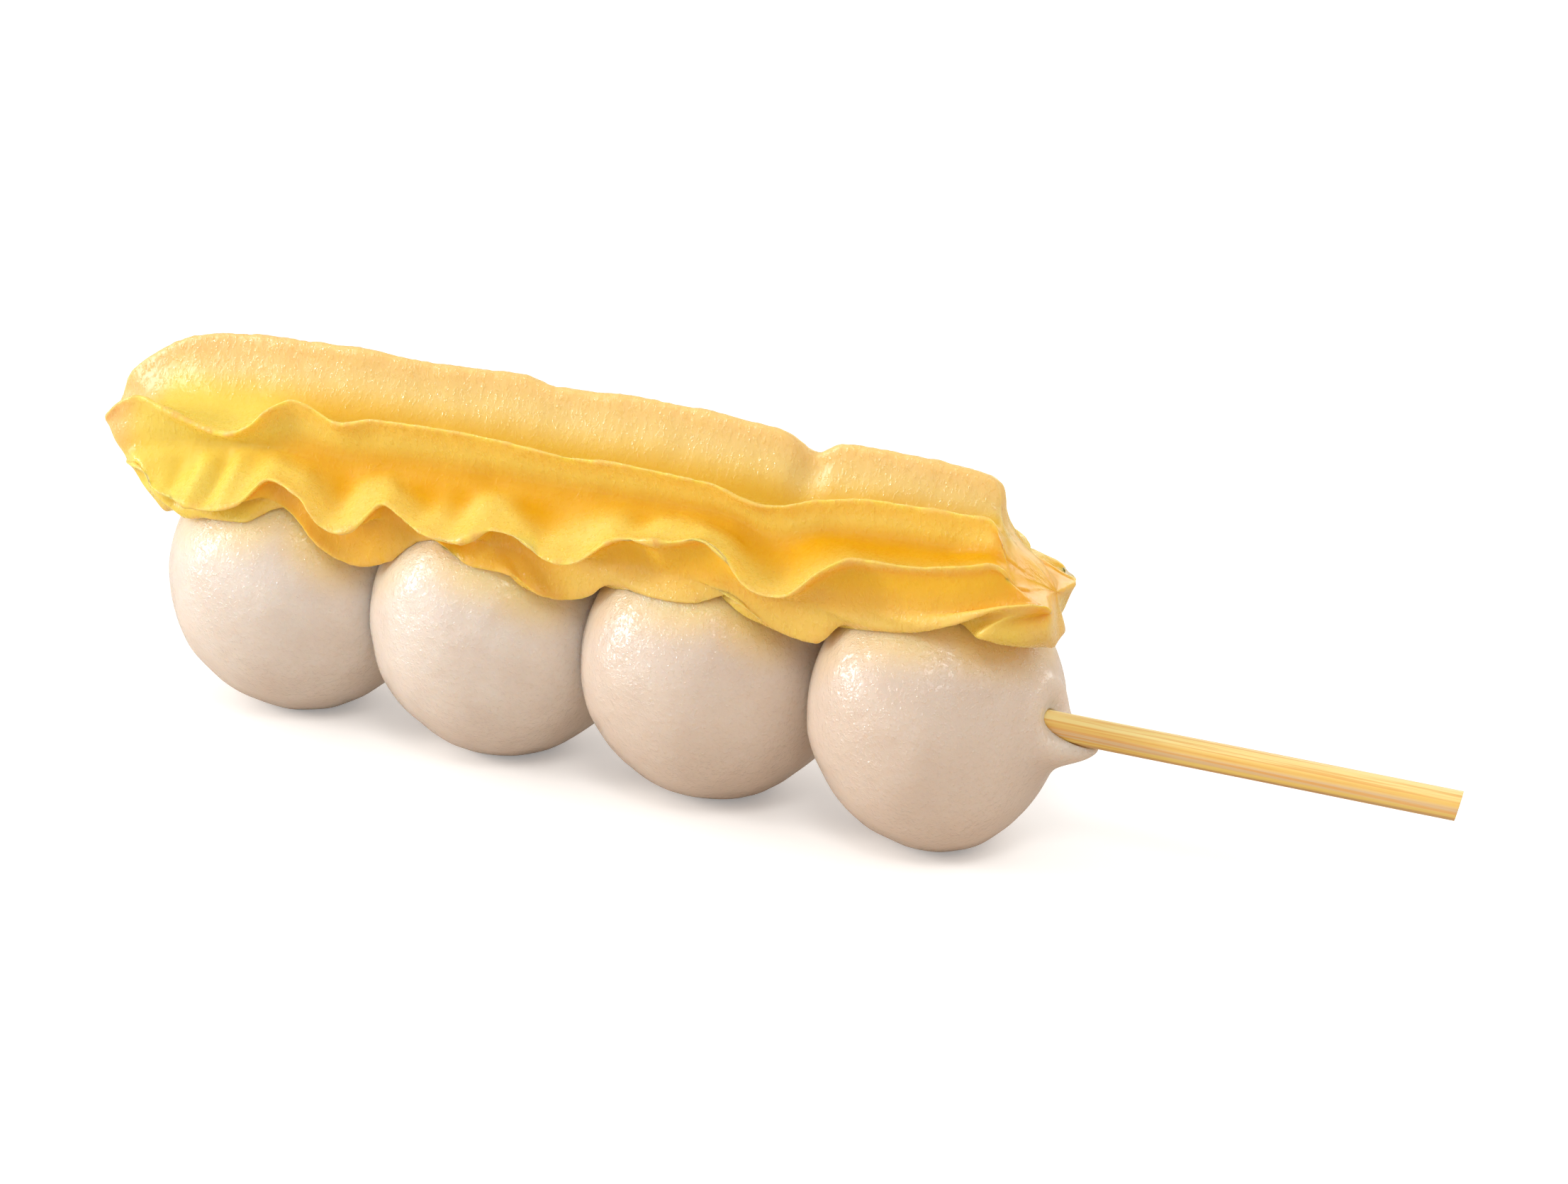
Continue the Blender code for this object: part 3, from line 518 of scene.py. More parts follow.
# A fin's tip is a smooth curve through rows of (x, y, z), one for each rise, dip or bend; start and end
# are the few points where it leaves the core and turns back. Its edge is half of its thickness at the
# tip: one number, or (x values, numbers there).
fins = {
    "skirt": {"edge": 0.3, "end": [(53.2, -7.4, 17.2), (53.0, -6.2, 16.4), (52.2, -5.2, 15.6)], "tip": [
        (-52.4, -9.2, 7.9), (-50.4, -9.9, 9.2), (-47.7, -11.6, 8.9), (-45.1, -12.0, 9.7),
        (-41.4, -12.3, 9.9), (-39.1, -12.1, 10.2), (-37.9, -11.2, 11.2), (-35.5, -10.2, 12.2),
        (-33.9, -10.7, 11.5), (-31.1, -11.7, 9.2), (-26.3, -11.1, 7.2), (-22.5, -10.7, 8.4),
        (-19.1, -10.2, 11.3), (-17.3, -10.2, 11.8), (-14.0, -11.4, 11.0), (-11.4, -12.0, 10.4),
        (-6.9, -11.8, 10.3), (-3.6, -11.6, 8.4), (-1.5, -10.6, 8.0), (1.5, -10.2, 8.8),
        (4.1, -10.2, 11.0), (9.8, -11.2, 10.8),
        (14.5, -11.0, 11.0), (18.5, -9.3, 12.4), (20.7, -10.0, 11.1), (23.9, -9.7, 9.2),
        (28.5, -9.8, 8.9), (31.0, -9.2, 11.6), (35.0, -9.9, 11.8), (39.0, -9.8, 12.4),
        (42.0, -10.3, 13.4), (46.3, -10.0, 15.5), (49.3, -9.5, 17.1), (52.7, -8.4, 17.7)]},
    "ruffle": {"edge": 0.26, "fold": 0.8,
               "end": [(48.4, -8.2, 19.8), (48.9, -7.2, 18.4), (49.0, -6.2, 17.2)], "tip": [
        (-57.3, -8.3, 12.4), (-54.7, -9.3, 12.6), (-51.2, -11.4, 11.4), (-47.3, -12.8, 11.2),
        (-43.3, -13.5, 11.1), (-39.3, -12.9, 12.2), (-37.0, -10.8, 14.9), (-32.4, -11.8, 14.0),
        (-29.3, -12.8, 11.8), (-27.2, -13.0, 11.3), (-24.8, -12.8, 12.1), (-22.6, -10.8, 14.9),
        (-20.8, -11.2, 14.3), (-16.6, -12.4, 13.0), (-14.0, -12.7, 12.8), (-11.7, -12.6, 13.1),
        (-8.7, -11.4, 14.6), (-6.6, -11.8, 14.6), (-1.8, -12.8, 13.2), (0.4, -13.0, 13.0),
        (2.4, -12.8, 13.6), (5.5, -11.6, 16.0), (13.0, -11.2, 17.1), (15.4, -11.2, 17.8),
        (18.7, -12.0, 16.9), (22.4, -13.0, 14.5), (24.5, -13.2, 14.2), (26.6, -13.2, 14.5),
        (30.1, -12.0, 17.5), (32.8, -10.5, 18.7), (38.3, -10.0, 18.8), (44.7, -9.5, 19.8),
        (47.4, -8.9, 20.4)]},
    "ridge": {"edge": ((-62, -54, -43, -37), (0.3, 0.42, 0.36, 0.22)),
              "end": [(46.1, -4.7, 22.6), (46.7, -4.5, 21.0), (47.0, -4.3, 19.4)], "tip": [
        (-60.8, -7.0, 16.0), (-58.5, -7.0, 18.3), (-55.6, -7.0, 19.6), (-52.2, -7.5, 18.9),
        (-44.5, -8.0, 17.6), (-41.1, -8.0, 19.0), (-39.0, -7.5, 21.0), (-35.9, -7.0, 22.5),
        (-33.6, -7.0, 22.0), (-30.3, -7.2, 20.9), (-25.9, -7.0, 22.0), (-13.3, -7.0, 22.5),
        (-2.3, -7.0, 22.1), (4.2, -7.0, 22.5), (14.8, -7.0, 22.3), (17.8, -6.8, 21.3),
        (20.5, -6.5, 20.8), (22.8, -6.2, 21.1), (26.2, -5.8, 22.2), (33.5, -5.2, 23.2),
        (45.3, -4.8, 23.4)]},
    "crest": {"edge": 0.6, "start": [(-62.6, 1.3, 13.6), (-63.8, 1.4, 14.0)],
              "end": [(44.0, 1.0, 23.7), (44.0, 1.0, 22.0), (44.3, 1.0, 21.0)], "tip": [
        (-64.3, 1.5, 14.9), (-63.5, 1.2, 16.8), (-61.1, 1.0, 20.0), (-58.9, 1.0, 21.6),
        (-54.0, 1.0, 24.2), (-49.3, 1.2, 25.3), (-40.0, 0.8, 26.1), (-31.5, 0.6, 26.6),
        (-22.7, 1.0, 26.3), (-12.2, 1.4, 26.7), (-8.7, 1.4, 26.1), (4.9, 1.0, 26.9), (18.3, 0.6, 26.5),
        (20.0, 0.6, 26.0), (22.4, 1.4, 24.2), (25.2, 1.2, 25.9), (31.4, 1.0, 26.2), (42.6, 1.0, 25.6),
        (43.7, 1.0, 24.9)]},
    "backRidge": {"edge": 0.5, "end": [(44.6, 5.6, 17.0), (45.2, 5.0, 16.4)], "tip": [
        (-61.8, 7.0, 15.6), (-58.0, 8.2, 18.0), (-50.0, 8.6, 20.2), (-43.0, 7.8, 19.2),
        (-35.0, 8.4, 21.0), (-24.0, 7.6, 20.4), (-12.0, 8.4, 21.2), (2.0, 8.0, 20.6), (12.0, 7.4, 21.2),
        (23.0, 8.2, 19.8), (33.0, 7.2, 20.8), (40.0, 6.8, 19.0), (43.8, 6.2, 17.4)]},
    "backRuffle": {"edge": ((40, 47), (0.45, 0.7)), "end": [(49.8, 6.1, 13.9)], "tip": [
        (-59.0, 9.2, 12.0), (-54.0, 11.4, 14.0), (-50.0, 13.0, 12.2), (-45.5, 12.0, 15.2),
        (-40.0, 13.2, 12.6), (-34.5, 12.4, 15.4), (-28.0, 13.2, 11.8), (-22.0, 12.0, 14.8),
        (-15.0, 13.3, 13.0), (-9.0, 12.4, 15.6), (-1.0, 13.2, 11.9), (6.0, 12.0, 15.0),
        (12.5, 13.2, 13.2), (18.0, 12.4, 15.4), (25.0, 13.0, 12.0), (32.0, 11.8, 14.8),
        (38.0, 12.4, 12.6), (43.0, 9.6, 14.8), (49.3, 6.8, 14.2)]},
    "backSkirt": {"edge": 0.5, "end": [(48.5, 5.8, 10.9)], "tip": [
        (-56.0, 9.4, 9.0), (-50.0, 11.4, 9.2), (-40.0, 12.4, 9.8), (-33.0, 12.0, 10.2),
        (-26.5, 11.2, 7.2), (-20.0, 11.0, 10.2), (-13.0, 12.4, 9.6), (-7.0, 11.6, 10.4),
        (-1.0, 10.8, 7.6), (6.0, 11.2, 10.4), (13.0, 12.0, 9.6), (19.0, 11.2, 10.2), (25.5, 10.2, 8.0),
        (32.0, 11.2, 10.2), (39.0, 11.6, 9.6), (44.0, 9.6, 9.8), (47.6, 7.2, 10.4)]},
}
valleys = {
    "skirtRuffle": [
        (-55.2, -8.8, 10.3), (-50.0, -11.0, 9.9), (-44.0, -10.8, 11.1), (-36.0, -9.6, 12.5),
        (0.0, -9.1, 12.7), (22.0, -9.1, 12.5), (34.0, -9.1, 13.0), (44.0, -8.6, 14.2),
        (50.6, -6.8, 15.4)],
    "ruffleRidge": [
        (-59.3, -7.7, 14.2), (-56.0, -8.0, 13.8), (-50.0, -6.6, 14.6), (-42.0, -5.6, 16.0),
        (-30.0, -5.5, 16.2), (-20.0, -5.5, 17.2), (-8.0, -5.5, 17.7), (15.6, -5.5, 18.4),
        (21.0, -5.8, 16.6), (27.0, -5.3, 18.3), (44.0, -4.6, 18.8), (47.6, -4.5, 18.4)],
    "ridgeCrest": [
        (-62.6, -2.6, 16.2), (-56.0, -3.0, 17.2), (-45.0, -2.8, 18.3), (-36.0, -2.6, 19.3),
        (15.0, -2.4, 19.6), (22.0, -2.2, 18.8), (30.0, -2.0, 20.0), (44.0, -2.0, 20.2),
        (46.4, -2.0, 19.2)],
    "crestBack": [
        (-62.8, 3.6, 15.6), (-50.0, 3.6, 18.0), (-36.0, 3.4, 19.0), (44.0, 3.3, 19.0),
        (46.4, 3.4, 18.0)],
    "backRidgeRuffle": [
        (-60.4, 7.0, 13.4), (-50.0, 6.8, 15.4), (-30.0, 6.0, 16.8), (44.0, 5.8, 16.6),
        (47.6, 5.0, 15.2)],
    "backRuffleSkirt": [
        (-57.6, 8.8, 10.8), (-48.0, 8.9, 12.6), (-30.0, 8.2, 14.0), (42.0, 7.9, 14.0),
        (50.0, 5.8, 12.4)],
}
# the petal that the skirt ends in, at the right end
petal = {
    "corner": [(43.0, -9.6, 12.0), (46.9, -9.6, 12.1), (48.4, -9.2, 11.7), (50.4, -8.7, 11.7),
               (52.9, -6.4, 12.8)],
    "fold": [(43.0, -9.4, 12.6), (47.0, -8.6, 13.8), (50.0, -7.2, 14.8), (52.0, -5.6, 15.2)],
    "blend": (42.0, 46.5),
}

# The dumplings, from the skewer's point to its handle end: two half ellipsoids each, with lumps of
# (x from the middle, degrees from the top towards the front, height, spread).
# each dumpling's share of the darker tan is painted shade, larger for those further from the lights on
# the left
dumplings = [
    {"x": -39.4, "radius": 14.8, "left": 14.9, "right": 14.4, "tan": 0.0,
     "lumps": [(-6, 60, 0.4, 6), (5, 110, -0.3, 7), (2, -80, 0.2, 8)]},
    {"x": -13.8, "radius": 14.9, "left": 14.8, "right": 14.3, "tan": 0.15,
     "lumps": [(-4, 48, 0.5, 4), (6, 80, -0.3, 6), (-3, -100, 0.2, 8)]},
    {"x": 11.7, "radius": 14.6, "left": 14.4, "right": 14.2, "tan": 0.55,
     "lumps": [(-6, 50, 0.4, 4), (6, 48, 0.4, 4), (0, -70, -0.3, 7)]},
    {"x": 37.6, "radius": 14.4, "left": 13.3, "right": 12.8, "tan": 0.7,
     "lumps": [(-6, 50, 0.4, 4), (-3, 95, -0.4, 5), (4, -90, 0.4, 7), (10, 140, 1.9, 7)]},
]


def ballRadius(ball, x, angle):
    # how far a dumpling's skin is from the row's axis, at x and at an angle from the top to the front
    dx = x - ball["x"]
    length = np.where(dx < 0, ball["left"], ball["right"])
    smooth = ball["radius"] * np.sqrt(np.maximum(1 - (dx / length) ** 2, 0))
    lumps = 0
    for lumpX, degrees, height, spread in ball["lumps"]:
        around = (np.mod(angle - math.radians(degrees) + math.pi, math.tau) - math.pi) * smooth
        lumps = lumps + height * np.exp(-((dx - lumpX) ** 2 + around**2) / spread**2)
    return smooth + lumps * smooth / ball["radius"]


def clearRadius(x, angle):
    skin = np.max([ballRadius(ball, x, angle) for ball in dumplings], axis=0)
    outside = np.maximum(stepped(*strip["bridgeLeft"], -x), stepped(*strip["bridgeRight"], x))
    bridge = strip["bridgeRadius"] + (strip["endRadius"] - strip["bridgeRadius"]) * outside
    return np.maximum(skin, bridge) + strip["gap"]


def angleOf(points):
    # from the top of the row towards the front
    return np.arctan2(-points[..., 1], points[..., 2])


def liftClear(points):
    # moves the points that lie in a dumpling straight out of it
    x, y, z = points[..., 0], points[..., 1], points[..., 2]
    least = clearRadius(x, angleOf(points))
    grow = np.maximum(least / np.maximum(np.hypot(y, z), 1e-6), 1.0)
    return np.stack([x, y * grow, z * grow], -1)


def alongRows(rows, share):
    xs = rows[0][0] + (rows[-1][0] - rows[0][0]) * share
    return np.column_stack([xs, curveAt(rows, xs)])


def smoothAlong(values, reach):
    # a running mean over reach stations to each side, weighted to its middle
    weights = 1 - np.abs(np.arange(-reach, reach + 1)) / (reach + 1)
    padded = np.concatenate([np.repeat(values[:1], reach, 0), values, np.repeat(values[-1:], reach, 0)])
    return sum(w * padded[n:n + len(values)] for n, w in enumerate(weights / weights.sum()))


def walkPoints(points, share):
    points = np.array(points, float)
    step = np.clip(share, 0, 0.9999) * (len(points) - 1)
    k = step.astype(int)
    return points[k] + (points[k + 1] - points[k]) * (step - k)[:, None]


def finTip(fin, u):
    start = [*fin.get("start", []), fin["tip"][0]]
    end = [fin["tip"][-1], *fin.get("end", [])]
    low = strip["turnShare"] if len(start) > 1 else 0.0
    high = 1.0 - (strip["turnShare"] if len(end) > 1 else 0.0)
    tip = alongRows(fin["tip"], np.clip((u - low) / (high - low), 0, 1))
    if len(start) > 1:
        tip = np.where((u < low)[:, None], walkPoints(start, u / low), tip)
    if len(end) > 1:
        tip = np.where((u > high)[:, None], walkPoints(end, (u - high) / (1 - high)), tip)
    return smoothAlong(tip, 3)


finShape = {
    "edgeMost": 0.4, "tipShare": 0.2, "lowShare": 0.7, "lowForward": 0.6,
    "bladeShare": 0.28, "bladeLength": 1.8, "bladeSwell": 1.1, "bladeEdge": 0.35,
}


def finRows(before, tip, after, fin, rises):
    # the rings' points round one fin: its root side, its blade and its edge, there and back
    edge, fold = fin["edge"], fin.get("fold", 0.0)
    if isinstance(edge, tuple):
        edge = np.interp(tip[:, 0], *edge)[:, None]
    wave = (tip - smoothAlong(tip, strip["waveReach"])) * np.array([0, 1.0, 0.5]) * fold
    root = (before + after) / 2
    spine = tip - root
    spine[:, 0] = 0
    length = np.linalg.norm(spine, axis=1, keepdims=True)
    thick = np.minimum(edge, length * finShape["edgeMost"] + 0.05)
    across = np.column_stack([np.zeros(len(tip)), -spine[:, 2], spine[:, 1]]) / length * thick
    across = across * np.where((across * (after - before)).sum(1, keepdims=True) < 0, -1.0, 1.0)
    tip = tip + spine / length * np.minimum(length * finShape["tipShare"], strip["tipReach"])
    back = spine / length * np.minimum(length * finShape["bladeShare"], finShape["bladeLength"])
    lowShare = finShape["lowShare"]
    rows = []
    for valley, side, (lowRise, bladeRise) in ((before, -1, rises[0]), (after, 1, rises[1])):
        corner = tip + across * side
        low = (valley + corner) / 2 * lowShare + (root + tip) / 2 * (1 - lowShare) + wave
        low[:, 0] = valley[:, 0] + (corner[:, 0] - valley[:, 0]) * finShape["lowForward"]
        blade = tip - back + across * side * finShape["bladeSwell"]
        rows.append([(low, lowRise, 0.0), (blade, bladeRise, finShape["bladeEdge"]),
                     (corner, 1.0, 1.0)])
    return rows[0] + rows[1][::-1]


def polarPoints(x, angle, radius):
    return np.column_stack([x, -radius * np.sin(angle), radius * np.cos(angle)])


def pasteControl(u):
    # every station's outline, as points with four shades: rise, edge, wall and the underside share;
    # rise carries painted shade in the hollows, edge a painted highlight along the fins' edges, and the
    # underside share painted light under the ruffle
    tips = {name: finTip(fin, u) for name, fin in fins.items()}
    low = {name: alongRows(rows, u) for name, rows in valleys.items()}
    order = list(tips.values())
    # the valleys fill up towards both ends
    filled = stepped(0.93, 1.0, u) * 0.9 + (1 - stepped(0.0, 0.03, u)) * 0.4
    for name, before, after in zip(low, order, order[1:]):
        low[name] = low[name] + ((before + after) / 2 - low[name]) * filled[:, None]
    for name in ("skirt", "backSkirt"):
        # the skirts melt onto the dumplings
        tip = tips[name]
        reach = np.hypot(tip[:, 1], tip[:, 2])
        rest = clearRadius(tip[:, 0], angleOf(tip)) + strip["skirtRest"]
        settled = np.maximum(np.minimum(reach, rest), reach - strip["skirtDrop"]) / reach
        tips[name] = tip * np.column_stack([np.ones(len(tip)), settled, settled])
    skirt, back = tips["skirt"], tips["backSkirt"]
    start, end = (np.array(strip[name])[:, None] for name in ("underStart", "underEnd"))
    cornerX, backX = start + (end - start) * u
    inset = math.radians(strip["cornerInset"])
    frontAngle, backAngle = angleOf(skirt) - inset, angleOf(back) + inset

    plainCorner = polarPoints(cornerX, frontAngle, clearRadius(cornerX, frontAngle))
    plainFold = plainCorner + (skirt - plainCorner) * 0.4
    petalShare = stepped(*petal["blend"], cornerX)[:, None]
    petalX = petal["corner"][0][0]
    petalU = np.clip((cornerX - petalX) / (strip["underEnd"][0] - petalX), 0, 1)
    corner = plainCorner + (alongRows(petal["corner"], petalU) - plainCorner) * petalShare
    fold = plainFold + (alongRows(petal["fold"], petalU) - plainFold) * petalShare

    def outwards(tip, edge):
        flat = tip * np.array([0, 1, 1])
        return flat / np.linalg.norm(flat, axis=1, keepdims=True) * edge

    rim = outwards(skirt, fins["skirt"]["edge"])
    skirtSide = (skirt + rim + low["skirtRuffle"]) / 2
    # between the first three dumplings it is deeper in colour
    deep = stepped(-36.0, -33.0, skirt[:, 0]) * (1 - stepped(-2.0, 6.0, skirt[:, 0]))
    rows = [(corner, 0.6 - 0.3 * deep, 0.3), (fold, 0.7 - 0.3 * deep, 0.3)]
    rows += [(skirt - rim, 1.0 - 0.65 * deep, 1.0), (skirt + rim, 1.0 - 0.65 * deep, 1.0)]
    rows.append((skirtSide, 0.9 - 0.65 * deep, 0.0))
    rows = [(*row, 0.0, 0.0) for row in rows]
    names = ["ruffle", "ridge", "crest", "backRidge", "backRuffle"]
    bounds = list(low.values())
    # painted shade: it is deepest in colour under the ruffle, and towards the right end also just over
    # it
    late = stepped(18.0, 32.0, tips["ruffle"][:, 0])
    rises = {name: ((0.5, 0.85), (0.5, 0.85)) for name in names}
    rises["ridge"] = ((0.62, 0.95), (0.5, 0.85))
    rises["ruffle"] = ((0.3, 0.18), (0.5 - 0.3 * late, 0.85 - 0.5 * late))
    for name, before, after in zip(names, bounds, bounds[1:]):
        wall = 1.0 if name == "crest" else 0.0
        front = 1.0 if name == "ruffle" else 0.0
        besideWall = 0.5 if name in ("crest", "backRidge") else 0.0
        # under the ruffle the paste is painted a brighter orange, painted light standing in for light
        # through the thin paste
        rows.append((before, front * 0.4, 0.0, besideWall, front * 0.8))
        blades = finRows(before, tips[name], after, fins[name], rises[name])
        rows += [(*row, wall, front * (n < 2)) for n, row in enumerate(blades)]
    rim = outwards(back, fins["backSkirt"]["edge"])
    rows.append((bounds[-1], 0.0, 0.0, 0.0, 0.0))
    rows.append(((bounds[-1] + back) / 2, 0.6, 0.0, 0.0, 0.0))
    rows += [(back + rim, 1.0, 1.0, 0.0, 0.0), (back - rim, 1.0, 1.0, 0.0, 0.0)]
    for k in range(strip["underPoints"]):
        share = (k + 0.5) / strip["underPoints"]
        x = backX + (cornerX - backX) * share
        angle = backAngle + (frontAngle - backAngle) * share
        rows.append((polarPoints(x, angle, clearRadius(x, angle)), 0.3, 0.0, 0.0, 0.0))
    points = np.stack([liftClear(row[0]) for row in rows], 1)
    shades = [[np.broadcast_to(value, len(u)) for value in row[1:]] for row in rows]
    return np.concatenate([points, np.moveaxis(np.array(shades), 2, 0)], 2)


pasteRelief = {
    "wrinkle": 0.035, "wrinkleSize": (0.9, 0.9, 3.2), "lump": 0.16, "lumpSize": 4.0,
    "edgeNibble": 0.10, "edgeSize": 0.9, "torn": 0.2, "tornSize": 3.4,
    "tornFine": 0.012, "tornFineSize": 0.9, "swellLightAndShade": 0.6, "swellMost": 0.15,
}
# soft folds on the strip's face near its left end: from (x, z) to (x, z), with a height and a width
pasteFolds = [
    ((-55.2, 13.1), (-48.0, 15.2), 0.35, 0.9), ((-54.0, 11.6), (-47.8, 13.4), -0.3, 0.9),
    ((-46.4, 14.0), (-45.8, 11.4), 0.45, 1.1), ((-44.4, 15.6), (-44.0, 12.0), -0.4, 0.8),
    ((-42.4, 15.6), (-41.8, 12.6), 0.5, 1.1), ((-49.6, 13.0), (-48.8, 10.4), -0.35, 1.0),
]
# left of each of the ruffle's arches its face swells, and sinks again before the next arch
for archX, archZ in ((-22.6, 14.9), (-7.8, 14.6), (13.6, 17.1)):
    pasteFolds.append(((archX - 3.6, archZ + 1.4), (archX - 3.0, archZ - 1.8), 0.38, 1.6))
    pasteFolds.append(((archX - 6.8, archZ + 1.4), (archX - 6.4, archZ - 2.0), -0.3, 1.6))
    pasteFolds.append(((archX + 1.0, archZ + 2.4), (archX + 4.0, archZ + 0.2), -0.4, 1.9))


# from where to where along, across or up the strip each shade grows or fades
pasteZones = {
    "wallEnd": (45.8, 48.2), "tornX": (45.0, 47.5), "tornY": (-9.0, -7.0), "tornZ": (13.0, 15.0),
    "frontY": (6.5, 8.0), "lemonX": (33.0, 46.0), "lemonEnd": (54.0, 59.0), "lemonTop": (18.2, 22.0),
    "leftBlush": (54.5, 59.5), "rightBlush": (49.5, 52.0), "hoodBlushZ": (20.0, 24.0),
    "hoodBlushX": (30.0, 50.0), "skirtBlushY": (8.0, 10.5), "skirtBlushZ": (10.5, 13.0),
    "skirtBlushX": (-6.0, 8.0), "paintedUnderside": (-42.0, -37.0),
}


def zone(name, value):
    return stepped(*pasteZones[name], value)


def capRings(ring, cap, count, bulge):
    # rings that close an end of the strip in a soft dome, from its last outline in to one point
    rings = []
    spread = ring[:, :3] - np.array(cap)
    across = np.hypot(spread[:, 1], spread[:, 2])
    even = across.mean() / across
    around = np.concatenate([spread, spread, spread])
    plain = smoothAlong(around, len(ring) // 12)[len(ring):2 * len(ring)]
    evening = 1.0 if bulge > 0 else 0.0
    for k in range(1, count):
        t = k / count
        inner = ring.copy()
        scale = (1 - t) * (1 + (even - 1) * stepped(0.0, 0.6, t))
        eased = spread + (plain - spread) * stepped(0.0, 0.5, t) * evening
        inner[:, 1:3] = np.array(cap[1:]) + eased[:, 1:3] * scale[:, None]
        inner[:, 0] = cap[0] + eased[:, 0] * (1 - stepped(0.0, 1.0, t))
        inner[:, 0] += bulge * math.sin(math.pi / 2 * t)
        rings.append(inner)
    return rings


def makePaste():
    u = np.linspace(0, 1, strip["stations"])
    control = pasteControl(u)
    dense = softened(control, strip["aroundSteps"], 1, closed=True)
    left = capRings(dense[0], *strip["leftCap"])[::-1]
    right = capRings(dense[-1], *strip["rightCap"])
    dense = np.concatenate([left, dense, right])

    # the two ends' sharp turns are eased, and the rest is left alone
    ring = np.arange(len(dense))
    for (turns, low, high), inwards in ((strip["leftEase"], ring), (strip["rightEase"], ring[::-1])):
        ease = 1 - stepped(low, high, inwards)
        for turn in range(turns):
            mean = dense.copy()
            beside = np.roll(dense, 1, 1)[1:-1], np.roll(dense, -1, 1)[1:-1]
            mean[1:-1] = (dense[:-2] + dense[2:] + beside[0] + beside[1]) / 4
            dense = dense + (mean - dense) * ease[:, None, None] * 0.5

    grid, shades = dense[..., :3], dense[..., 3:]
    rise, edge, wall, paintedUnderside = (shades[..., n] for n in range(4))
    wall = wall * (1 - zone("wallEnd", grid[..., 0]))
    normal = gridNormals(grid)
    middle = len(grid) // 2
    if (normal[middle, :, 2] * (grid[middle, :, 2] - strip["inside"])).sum() < 0:
        normal = -normal
    r = pasteRelief
    folded = roughNoise(grid / np.array(r["wrinkleSize"]), 0.5, 1)
    lumps = roughNoise(grid, r["lumpSize"], 2)
    nibble = roughNoise(grid, r["edgeSize"], 5) * edge
    x, y, z = grid[..., 0], grid[..., 1], grid[..., 2]
    height = folded * r["wrinkle"] * (0.4 + 0.6 * wall) + lumps * r["lump"] + nibble * r["edgeNibble"]
    torn = zone("tornX", x) * zone("tornY", y) * zone("tornZ", z)
    ragged = roughNoise(grid, r["tornSize"], 6) * r["torn"]
    ragged = ragged + roughNoise(grid, r["tornFineSize"], 7) * r["tornFine"]
    height = height + ragged * torn
    front = zone("frontY", -y) * stepped(0.1, 0.4, -normal[..., 1])
    swell = np.zeros_like(x)
    for (x0, z0), (x1, z1), tall, wide in pasteFolds:
        runX, runZ = x1 - x0, z1 - z0
        share = np.clip(((x - x0) * runX + (z - z0) * runZ) / (runX**2 + runZ**2), 0, 1)
        away = np.hypot(x - x0 - runX * share, z - z0 - runZ * share)
        swell = swell + tall * np.exp(-((away / wide) ** 2)) * front
    height = height + swell
    # painted light and shade: the folds' swells are painted paler and their sinks deeper in colour
    rise = np.clip(rise + np.minimum(swell, r["swellMost"]) * r["swellLightAndShade"], 0, 1)
    grid = grid + normal * height[..., None]

    lemon = zone("lemonX", -x) * (1 - zone("lemonEnd", -x)) * (1 - wall * zone("lemonTop", z)) * 0.8
    blush = zone("leftBlush", -x) * 0.9 + zone("rightBlush", x) * (1 - torn) * 0.45
    blush = blush + (edge * 0.5 + zone("hoodBlushZ", z) * zone("hoodBlushX", -x) * 0.6) * wall
    lowSkirt = zone("skirtBlushY", -y) * (1 - zone("skirtBlushZ", z - 0.1 * x))
    blush = blush + lowSkirt * zone("skirtBlushX", x) * 0.35
    values = {
        # painted shade: the torn end's colour follows its relief, low in the hollows and high on the
        # bumps
        "rise": rise, "torn": torn, "tornRise": stepped(-0.12, 0.12, ragged), "wall": wall,
        # painted highlight: a pale, broken line along the fins' edges
        "edge": edge**4 * (1 - wall) * stepped(-0.5, 0.35, nibble) * (1 - torn) * 0.9,
        # painted light: the brighter orange under the ruffle, fading in near the left end
        "paintedUnderside": paintedUnderside * zone("paintedUnderside", x), "lemon": lemon, "blush": np.clip(blush, 0, 1),
    }

    rings, sides = grid.shape[:2]
    points = np.concatenate([grid.reshape(-1, 3), grid[:1].mean(1), grid[-1:].mean(1)])
    faces = turnedOut(points, closedFaces(rings, sides))
    shades = {label: np.append(v.ravel(), [v[0].mean(), v[-1].mean()]) for label, v in values.items()}
    piece = makePiece("pipedPaste", points, faces, pasteMaterial, shades)
    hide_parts("paste_topping")
    return grid.reshape(-1, 3)


pastePoints = makePaste()

print("building: dumplings")

dough = {
    "controlSides": 36, "controlRings": 25, "steps": 5, "bore": 1.47,
    "openStart": 0.25, "openEnd": 0.42, "collarShortSide": 2.0,
    # the collar of dough on the skewer: its radius, and its x on the short side and on the long one
    "collar": [(4.9, 49.9, 50.6), (4.1, 50.1, 51.9), (3.5, 50.2, 53.4), (2.9, 50.2, 54.7),
               (2.1, 50.0, 55.6)],
    "lump": 0.2, "lumpSize": 6.0, "dimple": 0.07, "dimpleSize": 2.4, "overlap": 0.7,
    "stainReach": 5.5, "stainAndGlow": 0.75, "stainLeft": 0.35, "stainTurn": (-9.0, 6.0),
    "smoothMouth": (6.0, 9.0), "pole": (0.03, 1.6),
}


def contactX(index):
    here, after = dumplings[index], dumplings[index + 1]
    share = here["right"] / (here["right"] + after["left"])
    return here["x"] + (after["x"] - here["x"]) * share


